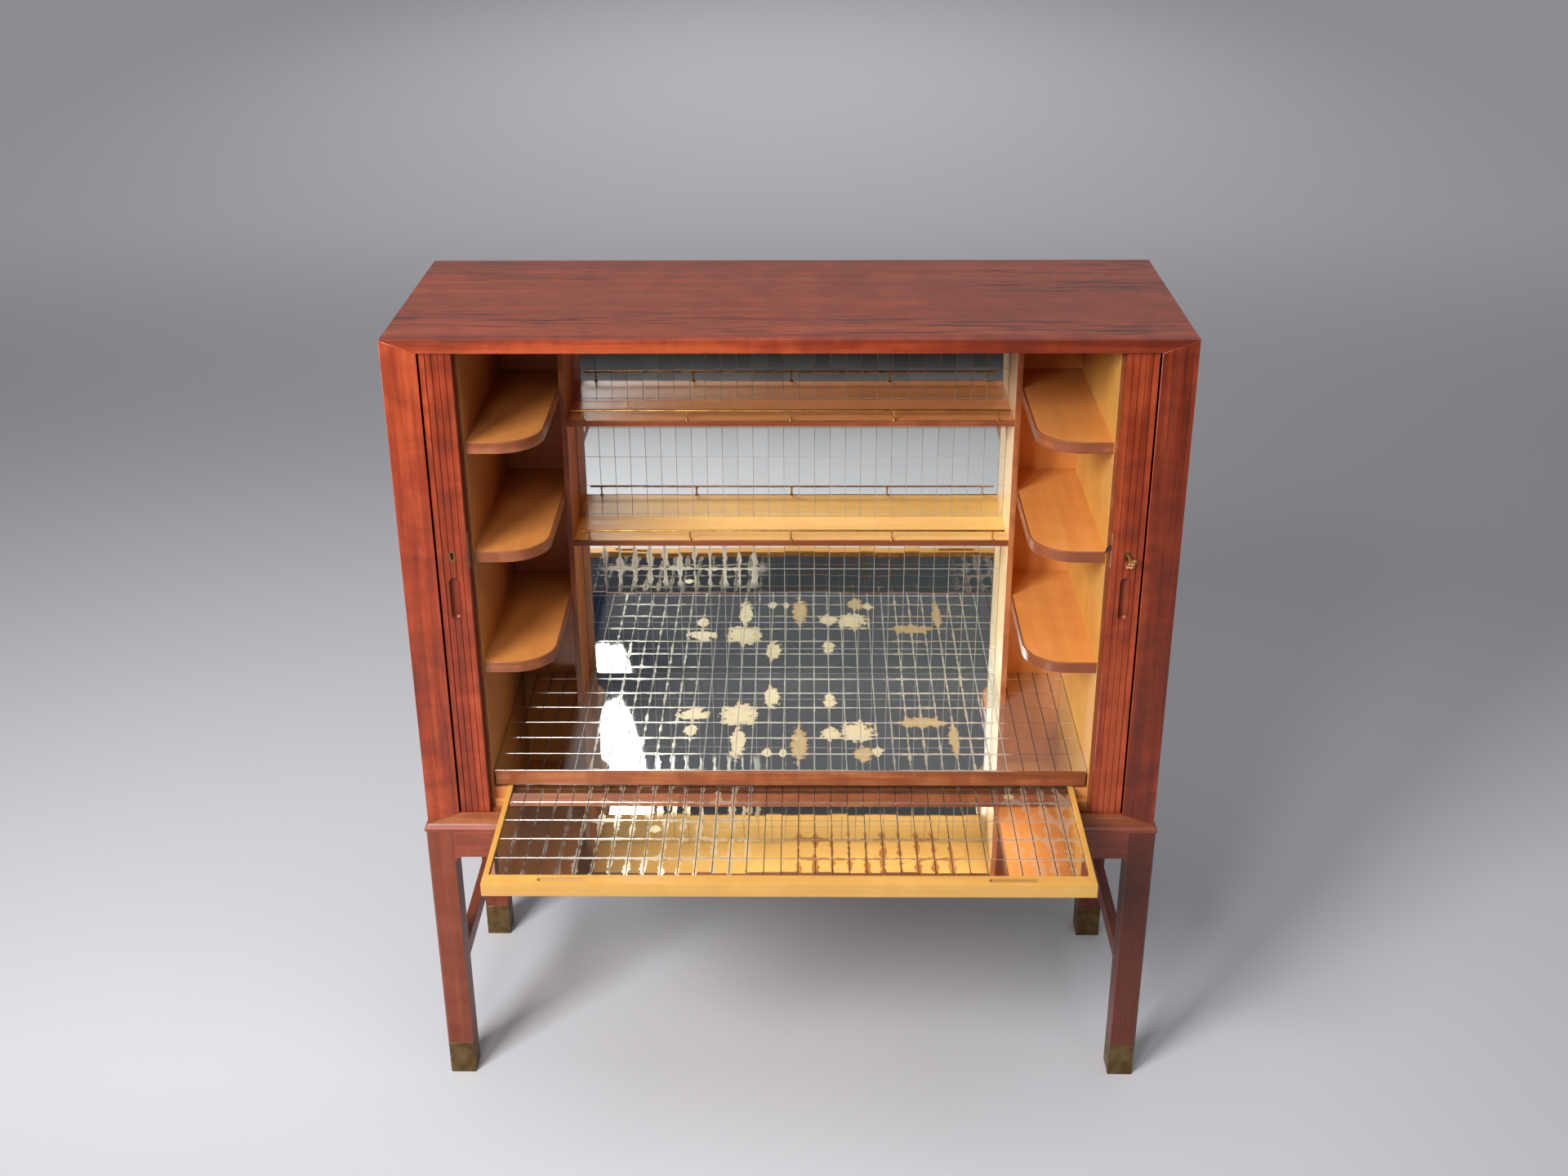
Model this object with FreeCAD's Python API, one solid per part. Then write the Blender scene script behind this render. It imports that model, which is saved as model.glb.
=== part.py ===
import FreeCAD
import Part
import math
import os

# A cabinet on a stand with two tambour doors, a mirrored interior and a pull-out mirror
# tray. Millimetres, +Z up, +Y towards the back, origin on the floor at the centre of the
# stand. It is modelled as it stands in use: both doors open and the tray drawn out.

V = FreeCAD.Vector
SIDES = {"left": -1, "right": 1}
ENDS = {"front": -1, "rear": 1}
DIAGONAL_SHARE = math.sqrt(0.5)

# Fits
overrun = 2.0
running_gap = 0.4
seat_gap = 0.1

# Carcass
carcass_width = 1150.0
carcass_depth = 427.0
carcass_height = 797.0
board = 19.2
post_width = 51.3
frame_depth = 24.0
back_panel_thickness = 8.0
back_recess = 4.0

# Stand
stand_height = 496.0
stand_overhang = 4.0
leg_size = 42.5
leg_chamfer = 3.0
shoe_height = 62.0
shoe_wall = 1.5
shoe_floor = 2.0
apron_height = 48.0
apron_thickness = 22.0
apron_bracket_radius = 12.0
stretcher_width = 16.5
stretcher_height = 30.5
stretcher_level = 214.0
moulding_height = 12.0
moulding_width = 40.0
moulding_projection = 6.0
moulding_bead_height = 7.0
moulding_bead_set = 2.0

# Tambour leaves
door_setback = 5.0
slat_pitch = 9.35
slat_gap = 0.4
slat_thickness = 8.0
slat_chamfer_width = 0.75
slat_chamfer_depth = 1.2
canvas_thickness = 0.8
canvas_margin = 10.0
tongue = 6.0
groove_depth = 7.0
bend_radius = 28.0
track_side_gap = 4.8
track_back_gap = 3.0
track_tail_slack = 20.0
cove_gap = 1.5
front_slat_count = 1
lead_band_count = 4
lead_thickness = 14.0
meeting_gap = 0.5
open_gap = 1.5

# Finger grips, keyholes and lock
grip_width = 16.3
grip_height = 70.0
grip_depth = 7.0
grip_rise = 339.5
keyhole_rise = 447.0
keyhole_from_edge = 23.9
keyhole_radius = 3.0
keyhole_slot_width = 3.8
keyhole_slot_length = 8.6
blind_keyhole_depth = 6.0
escutcheon_width = 9.2
escutcheon_height = 15.6
escutcheon_thickness = 1.2
lock_plate_height = 56.0
lock_plate_width = 10.0
lock_plate_thickness = 2.0
lock_case_depth = 30.0
lock_case_thickness = 9.0
lock_case_wall = 1.2
lock_above_pivot = 24.0
hook_pivot_rise = 8.5
hook_pivot_from_edge = 11.0
hook_thickness = 3.0
hook_boss_radius = 5.0
hook_reach = 19.5
hook_tip_drop = 9.0
hook_neck_drop = 3.4
hook_slot_rise = 20.0
hook_slot_drop = 4.4
hook_slot_width = 4.2
hook_throat_gap = 2.0
strike_pocket_depth = 14.0
strike_pocket_gap = 1.5
hook_pin_radius = 1.5
key_shank_radius = 2.0
key_reach_out = 27.0
key_reach_in = 9.5
key_bit_length = 4.5
key_bit_thickness = 1.6
key_bit_width = 3.6
key_collar_radius = 3.0
key_collar_length = 2.4
key_bow_ring_radius = 3.9
key_bow_wire_radius = 1.15
key_turn_at_rest = 35.0

# Interior
leaf_pocket_width = 77.8
leaf_pocket_depth = 41.0
liner_thickness = 8.0
liner_front = 21.0
mirror_thickness = 3.0
false_back_thickness = 9.0
tile_width = 25.4
tile_kerf = 0.8
floor_rise = 59.8
nosing_height = 24.0
nosing_depth = 12.0
nosing_lip = 4.0
nosing_front = 29.0
nosing_end_gap = 3.0
side_bay_width = 107.0
divider_thickness = 9.0
divider_depth = 100.0
lipping = 4.0
upper_shelf_rise = 503.3
lower_shelf_rise = 296.8
centre_shelf_thickness = 9.3
gallery_rise = 16.3
gallery_radius = 1.8
gallery_post_radius = 1.4
gallery_end_gap = 6.5
gallery_setback = 4.0
gallery_end_post_gap = 26.0
gallery_posts_each_side = 2
top_side_shelf_rise = 556.0
middle_side_shelf_rise = 383.0
low_side_shelf_rise = 197.0
side_shelf_thickness = 17.0
side_shelf_front = 25.0
side_shelf_radius = 65.0
side_shelf_lipping = 3.0

# Tray and its runners
tray_back_gap = 6.0
tray_draw = 266.0
tray_closed_front = 25.0
tray_rail_height = 21.0
tray_front_rail_depth = 24.0
tray_side_rail_width = 8.0
tray_panel_rise = 4.0
tray_panel_thickness = 9.0
tray_grip_length = 75.0
tray_grip_width = 10.0
tray_grip_from_end = 118.6
runner_height = 11.4
runner_ledge = 24.0
guide_width = 20.9
guide_height = 18.6
guide_front = 32.0
runner_front = 22.0
runner_back_gap = 21.0
guide_gap = 0.5

# Places that follow from the sizes
half_width = carcass_width / 2
front = -carcass_depth / 2
back = carcass_depth / 2
bottom = stand_height
top = stand_height + carcass_height
inner_bottom = bottom + board
inner_top = top - board
side_inner = half_width - board
post_inner = half_width - post_width
door_face = front + door_setback
lead_width = lead_band_count * slat_pitch
open_lead = post_inner - open_gap - lead_width - front_slat_count * slat_pitch
closed_lead = meeting_gap / 2
door_travel = open_lead - closed_lead
track_x = side_inner - track_side_gap - slat_thickness / 2
track_front = door_face + slat_thickness / 2
back_panel_inner = back - back_recess - back_panel_thickness
track_back = back_panel_inner - track_back_gap - slat_thickness / 2
bend_x = track_x - bend_radius
bend_front = track_front + bend_radius
bend_back = track_back - bend_radius
side_slat_count = int((bend_back - bend_front) / slat_pitch)
leaf_slat_count = int((post_inner - closed_lead - lead_width) / slat_pitch + 0.5)
back_slat_count = leaf_slat_count - front_slat_count - side_slat_count
slat_bottom = inner_bottom - tongue
slat_top = inner_top + tongue
liner_inner = side_inner - leaf_pocket_width - liner_thickness
false_back_rear = back_panel_inner - leaf_pocket_depth
false_back_face = false_back_rear - false_back_thickness
mirror_face = false_back_face - mirror_thickness
floor_level = inner_bottom + floor_rise
floor_board_top = floor_level - mirror_thickness
floor_underside = floor_level - nosing_height
divider_outer = liner_inner - side_bay_width
divider_inner = divider_outer - divider_thickness
divider_face = mirror_face - divider_depth
centre_shelf_levels = [floor_level + rise for rise in (upper_shelf_rise, lower_shelf_rise)]
side_shelf_rises = (top_side_shelf_rise, middle_side_shelf_rise, low_side_shelf_rise)
side_shelf_levels = [floor_level + rise for rise in side_shelf_rises]
gallery_post_spacing = (divider_inner - gallery_end_post_gap) / gallery_posts_each_side
tray_half_width = liner_inner - guide_width - guide_gap
tray_bottom = inner_bottom + runner_height + running_gap
tray_top = tray_bottom + tray_rail_height
tray_face = front + tray_closed_front - tray_draw
tray_rear = false_back_face - tray_back_gap - tray_draw
tray_grip_spread = tray_half_width - tray_grip_from_end
grip_level = inner_bottom + grip_rise
keyhole_level = inner_bottom + keyhole_rise
stand_half_width = half_width + stand_overhang
stand_half_depth = back + stand_overhang
leg_top = stand_height - moulding_height
hook_level = keyhole_level + hook_pivot_rise
lock_middle = door_face + lead_thickness / 2


def box(x0, x1, y0, y1, z0, z1):
    """A block between two planes on each axis, given in either order."""
    low = V(min(x0, x1), min(y0, y1), min(z0, z1))
    size = V(abs(x1 - x0), abs(y1 - y0), abs(z1 - z0))
    return Part.makeBox(size.x, size.y, size.z, low)


def prism(points, travel):
    """A straight-sided outline pushed along a vector."""
    return Part.Face(Part.makePolygon(points + points[:1])).extrude(travel)


def join(shapes):
    """One solid from touching or overlapping ones, with its flush faces merged."""
    return shapes[0].multiFuse(shapes[1:]).removeSplitter()


def group(shapes):
    """Separate solids that share a node."""
    return Part.makeCompound(shapes)


def bar_between(start, end, radius):
    """A round bar between two points."""
    return Part.makeCylinder(radius, start.distanceToPoint(end), start, end - start)


def capsule(start, end, radius):
    """A round bar with ball ends, as a ball-nosed cutter leaves it."""
    balls = [Part.makeSphere(radius, start), Part.makeSphere(radius, end)]
    return join([bar_between(start, end, radius)] + balls)


# Stand


def leg_plan(s, e, inset, z):
    """Plan of a leg with its outer corner chamfered, drawn in by an inset."""
    x_out = s * (stand_half_width - inset)
    y_out = e * (stand_half_depth - inset)
    x_in = s * (stand_half_width - leg_size + inset)
    y_in = e * (stand_half_depth - leg_size + inset)
    cut_corner = [V(x_out - s * leg_chamfer, y_out, z), V(x_out, y_out - e * leg_chamfer, z)]
    return cut_corner + [V(x_out, y_in, z), V(x_in, y_in, z), V(x_in, y_out, z)]


def leg(s, e):
    """A square leg whose foot is reduced to stand in its shoe."""
    shaft = prism(leg_plan(s, e, 0, shoe_height), V(0, 0, leg_top - shoe_height))
    foot = prism(leg_plan(s, e, shoe_wall, shoe_floor), V(0, 0, shoe_height - shoe_floor))
    return join([shaft, foot])


def shoe(s, e):
    """A brass socket that carries on the faces of the leg."""
    outside = prism(leg_plan(s, e, 0, 0), V(0, 0, shoe_height))
    pocket = prism(leg_plan(s, e, shoe_wall, shoe_floor), V(0, 0, shoe_height))
    return outside.cut(pocket)


def bracketed_rail(half_length, place, travel):
    """A rail with a small round bracket under each end; place maps (along, z) to a point."""
    low = leg_top - apron_height
    r = apron_bracket_radius
    bulge = r * (1 - DIAGONAL_SHARE)
    h = half_length
    edges = [
        Part.LineSegment(place(-h, leg_top), place(h, leg_top)),
        Part.LineSegment(place(h, leg_top), place(h, low - r)),
        Part.Arc(place(h, low - r), place(h - bulge, low - bulge), place(h - r, low)),
        Part.LineSegment(place(h - r, low), place(r - h, low)),
        Part.Arc(place(r - h, low), place(bulge - h, low - bulge), place(-h, low - r)),
        Part.LineSegment(place(-h, low - r), place(-h, leg_top)),
    ]
    return Part.Face(Part.Wire([e.toShape() for e in edges])).extrude(travel)


def end_apron(e):
    """The front or rear apron, flush with the faces of its legs."""
    y = e * stand_half_depth
    travel = V(0, -e * apron_thickness, 0)
    return bracketed_rail(stand_half_width - leg_size, lambda t, z: V(t, y, z), travel)


def side_apron(s):
    """A side apron, flush with the outer faces of its legs."""
    x = s * stand_half_width
    travel = V(-s * apron_thickness, 0, 0)
    return bracketed_rail(stand_half_depth - leg_size, lambda t, z: V(x, t, z), travel)


def stretcher(s):
    """A low rail from front to rear leg, flush with their inner faces."""
    inner = s * (stand_half_width - leg_size)
    reach = stand_half_depth - leg_size
    z = stretcher_level
    return box(inner, inner + s * stretcher_width, -reach, reach, z, z + stretcher_height)


def moulding_section(place):
    """Section of the bead under the carcass; place maps (outwards, z) to a point."""
    bead = moulding_projection - moulding_bead_set
    middle = leg_top + moulding_bead_height / 2
    shoulder = leg_top + moulding_bead_height
    inner = moulding_projection - moulding_width
    edges = [
        Part.LineSegment(place(inner, leg_top), place(bead, leg_top)),
        Part.Arc(place(bead, leg_top), place(moulding_projection, middle), place(bead, shoulder)),
        Part.LineSegment(place(bead, shoulder), place(0, stand_height)),
        Part.LineSegment(place(0, stand_height), place(inner, stand_height)),
        Part.LineSegment(place(inner, stand_height), place(inner, leg_top)),
    ]
    return Part.Face(Part.Wire([e.toShape() for e in edges]))


def mitred(length_half, across_half, place):
    """Prism whose plan is a trapezium with 45 degree ends."""
    w = moulding_width
    outline = [
        place(-length_half, across_half),
        place(length_half, across_half),
        place(length_half - w, across_half - w),
        place(w - length_half, across_half - w),
    ]
    return prism(outline, V(0, 0, moulding_height))


def moulding_length(e, along_x):
    """One mitred length of the moulding, at the front, rear or a side."""
    half_x = half_width + moulding_projection
    half_y = back + moulding_projection
    if along_x:
        section = moulding_section(lambda d, z: V(-half_x, e * (back + d), z))
        ends = mitred(half_x, half_y, lambda t, d: V(t, e * d, leg_top))
        return section.extrude(V(2 * half_x, 0, 0)).common(ends)
    section = moulding_section(lambda d, z: V(e * (half_width + d), -half_y, z))
    ends = mitred(half_y, half_x, lambda t, d: V(e * d, t, leg_top))
    return section.extrude(V(0, 2 * half_y, 0)).common(ends)


def stand_parts():
    """Legs, shoes, aprons, stretchers and the moulding that carries the carcass."""
    parts = {}
    for end, e in ENDS.items():
        for side, s in SIDES.items():
            parts[end + "_" + side + "_leg"] = leg(s, e)
        parts[end + "_apron"] = end_apron(e)
    corners = [(s, e) for s in SIDES.values() for e in ENDS.values()]
    parts["leg_shoes"] = group([shoe(s, e) for s, e in corners])
    parts["side_aprons"] = group([side_apron(s) for s in SIDES.values()])
    parts["side_stretchers"] = group([stretcher(s) for s in SIDES.values()])
    lengths = [moulding_length(e, along_x) for e in ENDS.values() for along_x in (True, False)]
    parts["stand_moulding"] = group(lengths)
    return parts


# Carcass


def quarter_ring(x, y, s, e, z0, z1):
    """A quarter turn of the door groove about a bend's centre."""
    half = slat_thickness / 2 + running_gap
    outer = Part.makeCylinder(bend_radius + half, z1 - z0, V(x, y, z0))
    inner = Part.makeCylinder(bend_radius - half, z1 - z0, V(x, y, z0))
    reach = bend_radius + slat_thickness
    quarter = box(x, x + s * reach, y, y + e * reach, z0, z1)
    return outer.cut(inner).common(quarter)


def track(z0, z1):
    """The door groove: across the front, round both corners and in behind the back."""
    half = slat_thickness / 2 + running_gap
    tail = bend_x - back_slat_count * slat_pitch - track_tail_slack
    pieces = [box(-bend_x, bend_x, track_front - half, track_front + half, z0, z1)]
    for s in SIDES.values():
        pieces.append(quarter_ring(s * bend_x, bend_front, s, -1, z0, z1))
        pieces.append(box(s * (track_x - half), s * (track_x + half), bend_front, bend_back, z0, z1))
        pieces.append(quarter_ring(s * bend_x, bend_back, s, 1, z0, z1))
        pieces.append(box(s * bend_x, s * tail, track_back - half, track_back + half, z0, z1))
    return join(pieces)


def mitred_board(inner, z_out, z_in, y0, y1):
    """A top or bottom member whose ends are mitred down to an inner half width."""
    outline = [
        V(-half_width, y0, z_out),
        V(half_width, y0, z_out),
        V(inner, y0, z_in),
        V(-inner, y0, z_in),
    ]
    return prism(outline, V(0, y1 - y0, 0))


def mitred_upright(s, inner, y0, y1):
    """A side member mitred at both ends to the top and bottom ones."""
    outline = [
        V(s * half_width, y0, bottom),
        V(s * half_width, y0, top),
        V(s * inner, y0, inner_top),
        V(s * inner, y0, inner_bottom),
    ]
    return prism(outline, V(0, y1 - y0, 0))


def front_post(s):
    """A wide front post, coved behind so that the leaf can turn into its pocket."""
    post = mitred_upright(s, post_inner, front, front + frame_depth)
    outside = bend_radius + slat_thickness / 2
    foot = V(s * bend_x, bend_front, inner_bottom)
    height = inner_top - inner_bottom
    cove = Part.makeCylinder(outside + cove_gap, height, foot)
    foot.z -= groove_depth
    ends = Part.makeCylinder(outside + running_gap, height + 2 * groove_depth, foot)
    return post.cut(cove).cut(ends)


def carcass_parts():
    """Mitred box, its front frame and its back panel, with the door grooves cut."""
    upper = track(inner_top, inner_top + groove_depth)
    lower = track(inner_bottom - groove_depth, inner_bottom)
    middle = front + frame_depth
    parts = {
        "top_board": mitred_board(side_inner, top, inner_top, middle, back).cut(upper),
        "bottom_board": mitred_board(side_inner, bottom, inner_bottom, middle, back).cut(lower),
        "top_front_rail": mitred_board(post_inner, top, inner_top, front, middle).cut(upper),
        "bottom_front_rail": mitred_board(post_inner, bottom, inner_bottom, front, middle).cut(lower),
    }
    for side, s in SIDES.items():
        parts[side + "_side"] = mitred_upright(s, side_inner, middle, back)
        parts[side + "_front_post"] = front_post(s)
    rear = back_panel_inner + back_panel_thickness
    span = (-side_inner, side_inner)
    parts["back_panel"] = box(*span, back_panel_inner, rear, inner_bottom, inner_top)
    return parts


# Interior


def tile_columns(x0, x1, y0, y1, z0, z1):
    """Mirror laid as columns of tiles with a kerf between them."""
    count = max(1, int((x1 - x0) / tile_width + 0.5))
    pitch = (x1 - x0) / count
    gap = tile_kerf / 2
    starts = [x0 + i * pitch for i in range(count)]
    return group([box(x + gap, x + pitch - gap, y0, y1, z0, z1) for x in starts])


def floor_nosing():
    """The edge strip of the mirrored floor, rebated for the board and its glass."""
    y = front + nosing_front
    reach = liner_inner - nosing_end_gap
    outline = [
        V(-reach, y, floor_underside),
        V(-reach, y + nosing_depth, floor_underside),
        V(-reach, y + nosing_depth, floor_board_top),
        V(-reach, y + nosing_lip, floor_board_top),
        V(-reach, y + nosing_lip, floor_level),
        V(-reach, y, floor_level),
    ]
    return prism(outline, V(2 * reach, 0, 0))


def shelf_plan(s, inset, z):
    """Plan of a side shelf with its free corner rounded, drawn in by an inset."""
    outer = s * liner_inner
    inner = s * (divider_outer + inset)
    near = front + side_shelf_front + inset
    r = side_shelf_radius - inset
    bulge = r * (1 - DIAGONAL_SHARE)
    start = V(inner + s * r, near, z)
    end = V(inner, near + r, z)
    edges = [
        Part.LineSegment(V(outer, false_back_face, z), V(outer, near, z)),
        Part.LineSegment(V(outer, near, z), start),
        Part.Arc(start, V(inner + s * bulge, near + bulge, z), end),
        Part.LineSegment(end, V(inner, false_back_face, z)),
        Part.LineSegment(V(inner, false_back_face, z), V(outer, false_back_face, z)),
    ]
    return Part.Face(Part.Wire([e.toShape() for e in edges]))


def side_shelf(s, level):
    """A side shelf and the band that edges it as far back as the divider."""
    rise = V(0, 0, side_shelf_thickness)
    low = level - side_shelf_thickness
    whole = shelf_plan(s, 0, low).extrude(rise)
    core = shelf_plan(s, side_shelf_lipping, low).extrude(rise)
    hidden = box(0, s * half_width, divider_face, back, low, level)
    band = whole.cut(core).cut(hidden)
    return whole.cut(band), band


def gallery(level):
    """A low brass rail on turned posts along the front of a shelf."""
    reach = divider_inner - gallery_end_gap
    y = divider_face + gallery_setback
    rail_level = level + gallery_rise
    post_top = rail_level - gallery_radius
    rail = bar_between(V(-reach, y, rail_level), V(reach, y, rail_level), gallery_radius)
    count = range(-gallery_posts_each_side, gallery_posts_each_side + 1)
    places = [i * gallery_post_spacing for i in count]
    posts = [bar_between(V(x, y, level), V(x, y, post_top), gallery_post_radius) for x in places]
    return group([rail] + posts)


def centre_shelf(level):
    """A centre shelf between the dividers and its front lipping."""
    low = level - centre_shelf_thickness
    middle = divider_face + lipping
    span = (-divider_inner, divider_inner)
    return box(*span, middle, mirror_face, low, level), box(*span, divider_face, middle, low, level)


def tray_runner(s):
    """A runner strip under the tray and the guide strip on it, along the foot of the liner."""
    outer = s * liner_inner
    guide = s * (tray_half_width + guide_gap)
    ledge = guide - s * runner_ledge
    y0 = front + runner_front
    y1 = false_back_face - runner_back_gap
    ledge_top = inner_bottom + runner_height
    strip = box(ledge, outer, y0, y1, inner_bottom, ledge_top)
    fence = box(guide, outer, front + guide_front, y1, ledge_top, ledge_top + guide_height)
    return [strip, fence]


def interior_parts():
    """Liners, dividers, false back, mirrored floor, shelves, galleries and runners."""
    parts = {}
    bands = []
    lippings = []
    for side, s in SIDES.items():
        inner = s * liner_inner
        outer = inner + s * liner_thickness
        liner_face = front + liner_front
        parts[side + "_liner"] = box(inner, outer, liner_face, false_back_rear, inner_bottom, inner_top)
        near, far = s * divider_inner, s * divider_outer
        edge = divider_face + lipping
        parts[side + "_divider"] = box(near, far, edge, false_back_face, floor_level, inner_top)
        lippings.append(box(near, far, divider_face, edge, floor_level, inner_top))
        shelves = [side_shelf(s, level) for level in side_shelf_levels]
        parts[side + "_side_shelves"] = group([shelf for shelf, band in shelves])
        bands.extend(band for shelf, band in shelves)
    parts["divider_lippings"] = group(lippings)
    parts["side_shelf_lippings"] = group(bands)
    span = (-liner_inner, liner_inner)
    parts["false_back"] = box(*span, false_back_face, false_back_rear, inner_bottom, inner_top)
    bay = (-divider_inner, divider_inner)
    parts["back_mirror"] = tile_columns(*bay, mirror_face, false_back_face, floor_level, inner_top)
    nosing_face = front + nosing_front
    board_front = nosing_face + nosing_depth
    parts["floor_board"] = box(*span, board_front, false_back_face, floor_underside, floor_board_top)
    parts["floor_nosing"] = floor_nosing()
    lip = nosing_face + nosing_lip
    parts["floor_mirror"] = tile_columns(*span, lip, false_back_face, floor_board_top, floor_level)
    centre = [centre_shelf(level) for level in centre_shelf_levels]
    for name, level, pair in zip(("upper", "lower"), centre_shelf_levels, centre):
        parts[name + "_shelf"] = pair[0]
        parts[name + "_gallery"] = gallery(level)
    parts["shelf_lippings"] = group([pair[1] for pair in centre])
    parts["tray_runners"] = group([strip for s in SIDES.values() for strip in tray_runner(s)])
    return parts


# Tray


def tray_front_rail():
    """The front rail, with two finger grooves scooped in its top."""
    rear = tray_face + tray_front_rail_depth
    rail = box(-tray_half_width, tray_half_width, tray_face, rear, tray_bottom, tray_top)
    radius = tray_grip_width / 2
    reach = tray_grip_length / 2 - radius
    y = (tray_face + rear) / 2
    for s in SIDES.values():
        x = s * tray_grip_spread
        rail = rail.cut(capsule(V(x - reach, y, tray_top), V(x + reach, y, tray_top), radius))
    return rail


def tray_parts():
    """A maple frame round a panel laid with mirror tiles."""
    inner = tray_half_width - tray_side_rail_width
    y0 = tray_face + tray_front_rail_depth
    y1 = tray_rear - tray_side_rail_width
    sides = []
    for s in SIDES.values():
        sides.append(box(s * inner, s * tray_half_width, y0, tray_rear, tray_bottom, tray_top))
    low = tray_bottom + tray_panel_rise
    glass = low + tray_panel_thickness
    return {
        "tray_front_rail": tray_front_rail(),
        "tray_side_rails": group(sides),
        "tray_back_rail": box(-inner, inner, y1, tray_rear, tray_bottom, tray_top),
        "tray_panel": box(-inner, inner, y0, y1, low, glass),
        "tray_mirror": tile_columns(-inner, inner, y0, y1, glass, glass + mirror_thickness),
    }


# Tambour doors


def slat(start, along, inward):
    """One slat: flat face, edges chamfered to a V, ends long enough for the grooves."""
    near = slat_gap / 2
    far = slat_pitch - near
    section = [
        (near + slat_chamfer_width, 0),
        (far - slat_chamfer_width, 0),
        (far, slat_chamfer_depth),
        (far, slat_thickness),
        (near, slat_thickness),
        (near, slat_chamfer_depth),
    ]
    points = [start + along * u + inward * v for u, v in section]
    return prism(points, V(0, 0, slat_top - slat_bottom))


def leaf_run(count, x, y, along, inward):
    """A straight run of slats glued to a strip of canvas."""
    start = V(x, y, slat_bottom)
    slats = [slat(start + along * (i * slat_pitch), along, inward) for i in range(count)]
    low = V(x, y, inner_bottom + canvas_margin) + inward * slat_thickness
    length = along * (count * slat_pitch)
    outline = [low, low + length, low + length + inward * canvas_thickness, low + inward * canvas_thickness]
    canvas = prism(outline, V(0, 0, inner_top - inner_bottom - 2 * canvas_margin))
    return group(slats + [canvas])


def keyhole(x, y0, y1):
    """A round hole over a slot for the key's bit."""
    hole = bar_between(V(x, y0, keyhole_level), V(x, y1, keyhole_level), keyhole_radius)
    half = keyhole_slot_width / 2
    slot = box(x - half, x + half, y0, y1, keyhole_level, keyhole_level - keyhole_slot_length)
    return join([hole, slot])


def escutcheon_blank(x, y0, y1):
    """The plate round a keyhole, round above and square below, before its hole is cut."""
    half = escutcheon_width / 2
    head = bar_between(V(x, y0, keyhole_level), V(x, y1, keyhole_level), half)
    foot = box(x - half, x + half, y0, y1, keyhole_level, keyhole_level + half - escutcheon_height)
    return join([head, foot])


def lead_section(s):
    """Plan of the stile: bands between V grooves, like the slats beside it."""
    end = lead_width - slat_gap / 2
    outline = [(0, slat_chamfer_depth), (slat_chamfer_width, 0)]
    for i in range(1, lead_band_count):
        u = i * slat_pitch
        outline += [(u - slat_chamfer_width, 0), (u, slat_chamfer_depth), (u + slat_chamfer_width, 0)]
    outline += [(end - slat_chamfer_width, 0), (end, slat_chamfer_depth)]
    outline += [(end, lead_thickness), (0, lead_thickness)]
    low = inner_bottom + running_gap
    return [V(s * (open_lead + u), door_face + v, low) for u, v in outline]


def finger_grip(s):
    """The scoop that the hand draws the door by."""
    radius = grip_width / 2
    x = s * (open_lead + keyhole_from_edge)
    y = door_face - radius + grip_depth
    reach = grip_level + grip_height
    return capsule(V(x, y, grip_level + radius), V(x, y, reach - radius), radius)


def lead_stile(s):
    """The stiff leading stile with its grip, keyhole and tongues for the grooves."""
    clear = inner_top - inner_bottom - 2 * running_gap
    stile = prism(lead_section(s), V(0, 0, clear))
    near = s * open_lead
    far = s * (open_lead + lead_width - slat_gap / 2)
    tongues = box(near, far, door_face + slat_chamfer_depth, door_face + slat_thickness, slat_bottom, slat_top)
    x = s * (open_lead + keyhole_from_edge)
    blind = keyhole(x, door_face - overrun, door_face + blind_keyhole_depth)
    recess = escutcheon_blank(x, door_face - overrun, door_face + escutcheon_thickness)
    return join([stile, tongues]).cut(finger_grip(s)).cut(blind).cut(recess)


def escutcheon(s):
    """A thin brass plate let in round the keyhole."""
    x = s * (open_lead + keyhole_from_edge)
    face = door_face + escutcheon_thickness
    return escutcheon_blank(x, door_face, face).cut(keyhole(x, door_face - overrun, face + overrun))


def edge_plate(s):
    """The plate let into a stile's leading edge, for the lock or its strike."""
    half = lock_plate_width / 2
    high = hook_level + lock_above_pivot
    near = s * open_lead
    far = s * (open_lead + lock_plate_thickness)
    return box(near, far, lock_middle - half, lock_middle + half, high - lock_plate_height, high)


def hook_slot(s, depth):
    """The slot that the hook swings through, cut in from the leading edge."""
    half = hook_slot_width / 2
    near = s * (open_lead - overrun)
    far = s * (open_lead + depth)
    low = hook_level - hook_slot_drop
    return box(near, far, lock_middle - half, lock_middle + half, low, hook_level + hook_slot_rise)


def strike_pocket(s):
    """The mortise behind the strike, deep enough for the beak to drop into."""
    half = hook_slot_width / 2
    near = s * (open_lead + lock_plate_thickness)
    far = s * (open_lead + strike_pocket_depth)
    low = hook_level - hook_tip_drop - strike_pocket_gap
    drop = box(near, far, lock_middle - half, lock_middle + half, low, hook_level)
    return join([hook_slot(s, strike_pocket_depth), drop])


def lock_block(s, wall):
    """The body of the lock, drawn in by a wall for its hollow."""
    half = lock_case_thickness / 2 - wall
    high = hook_level + lock_above_pivot - lock_case_wall - wall
    low = hook_level + lock_above_pivot - lock_plate_height + lock_case_wall + wall
    near = s * (open_lead + lock_plate_thickness)
    far = s * (open_lead + lock_case_depth - wall)
    return box(near, far, lock_middle - half, lock_middle + half, low, high)


def lock_case(s):
    """A mortise lock: edge plate and hollow case, with holes for key, hook and pin."""
    shell = join([edge_plate(s), lock_block(s, 0)]).cut(lock_block(s, lock_case_wall))
    x = s * (open_lead + keyhole_from_edge)
    hole = keyhole(x, door_face, lock_middle)
    return shell.cut(hole).cut(hook_slot(s, lock_plate_thickness + overrun)).fuse(hook_pin(s))


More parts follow.
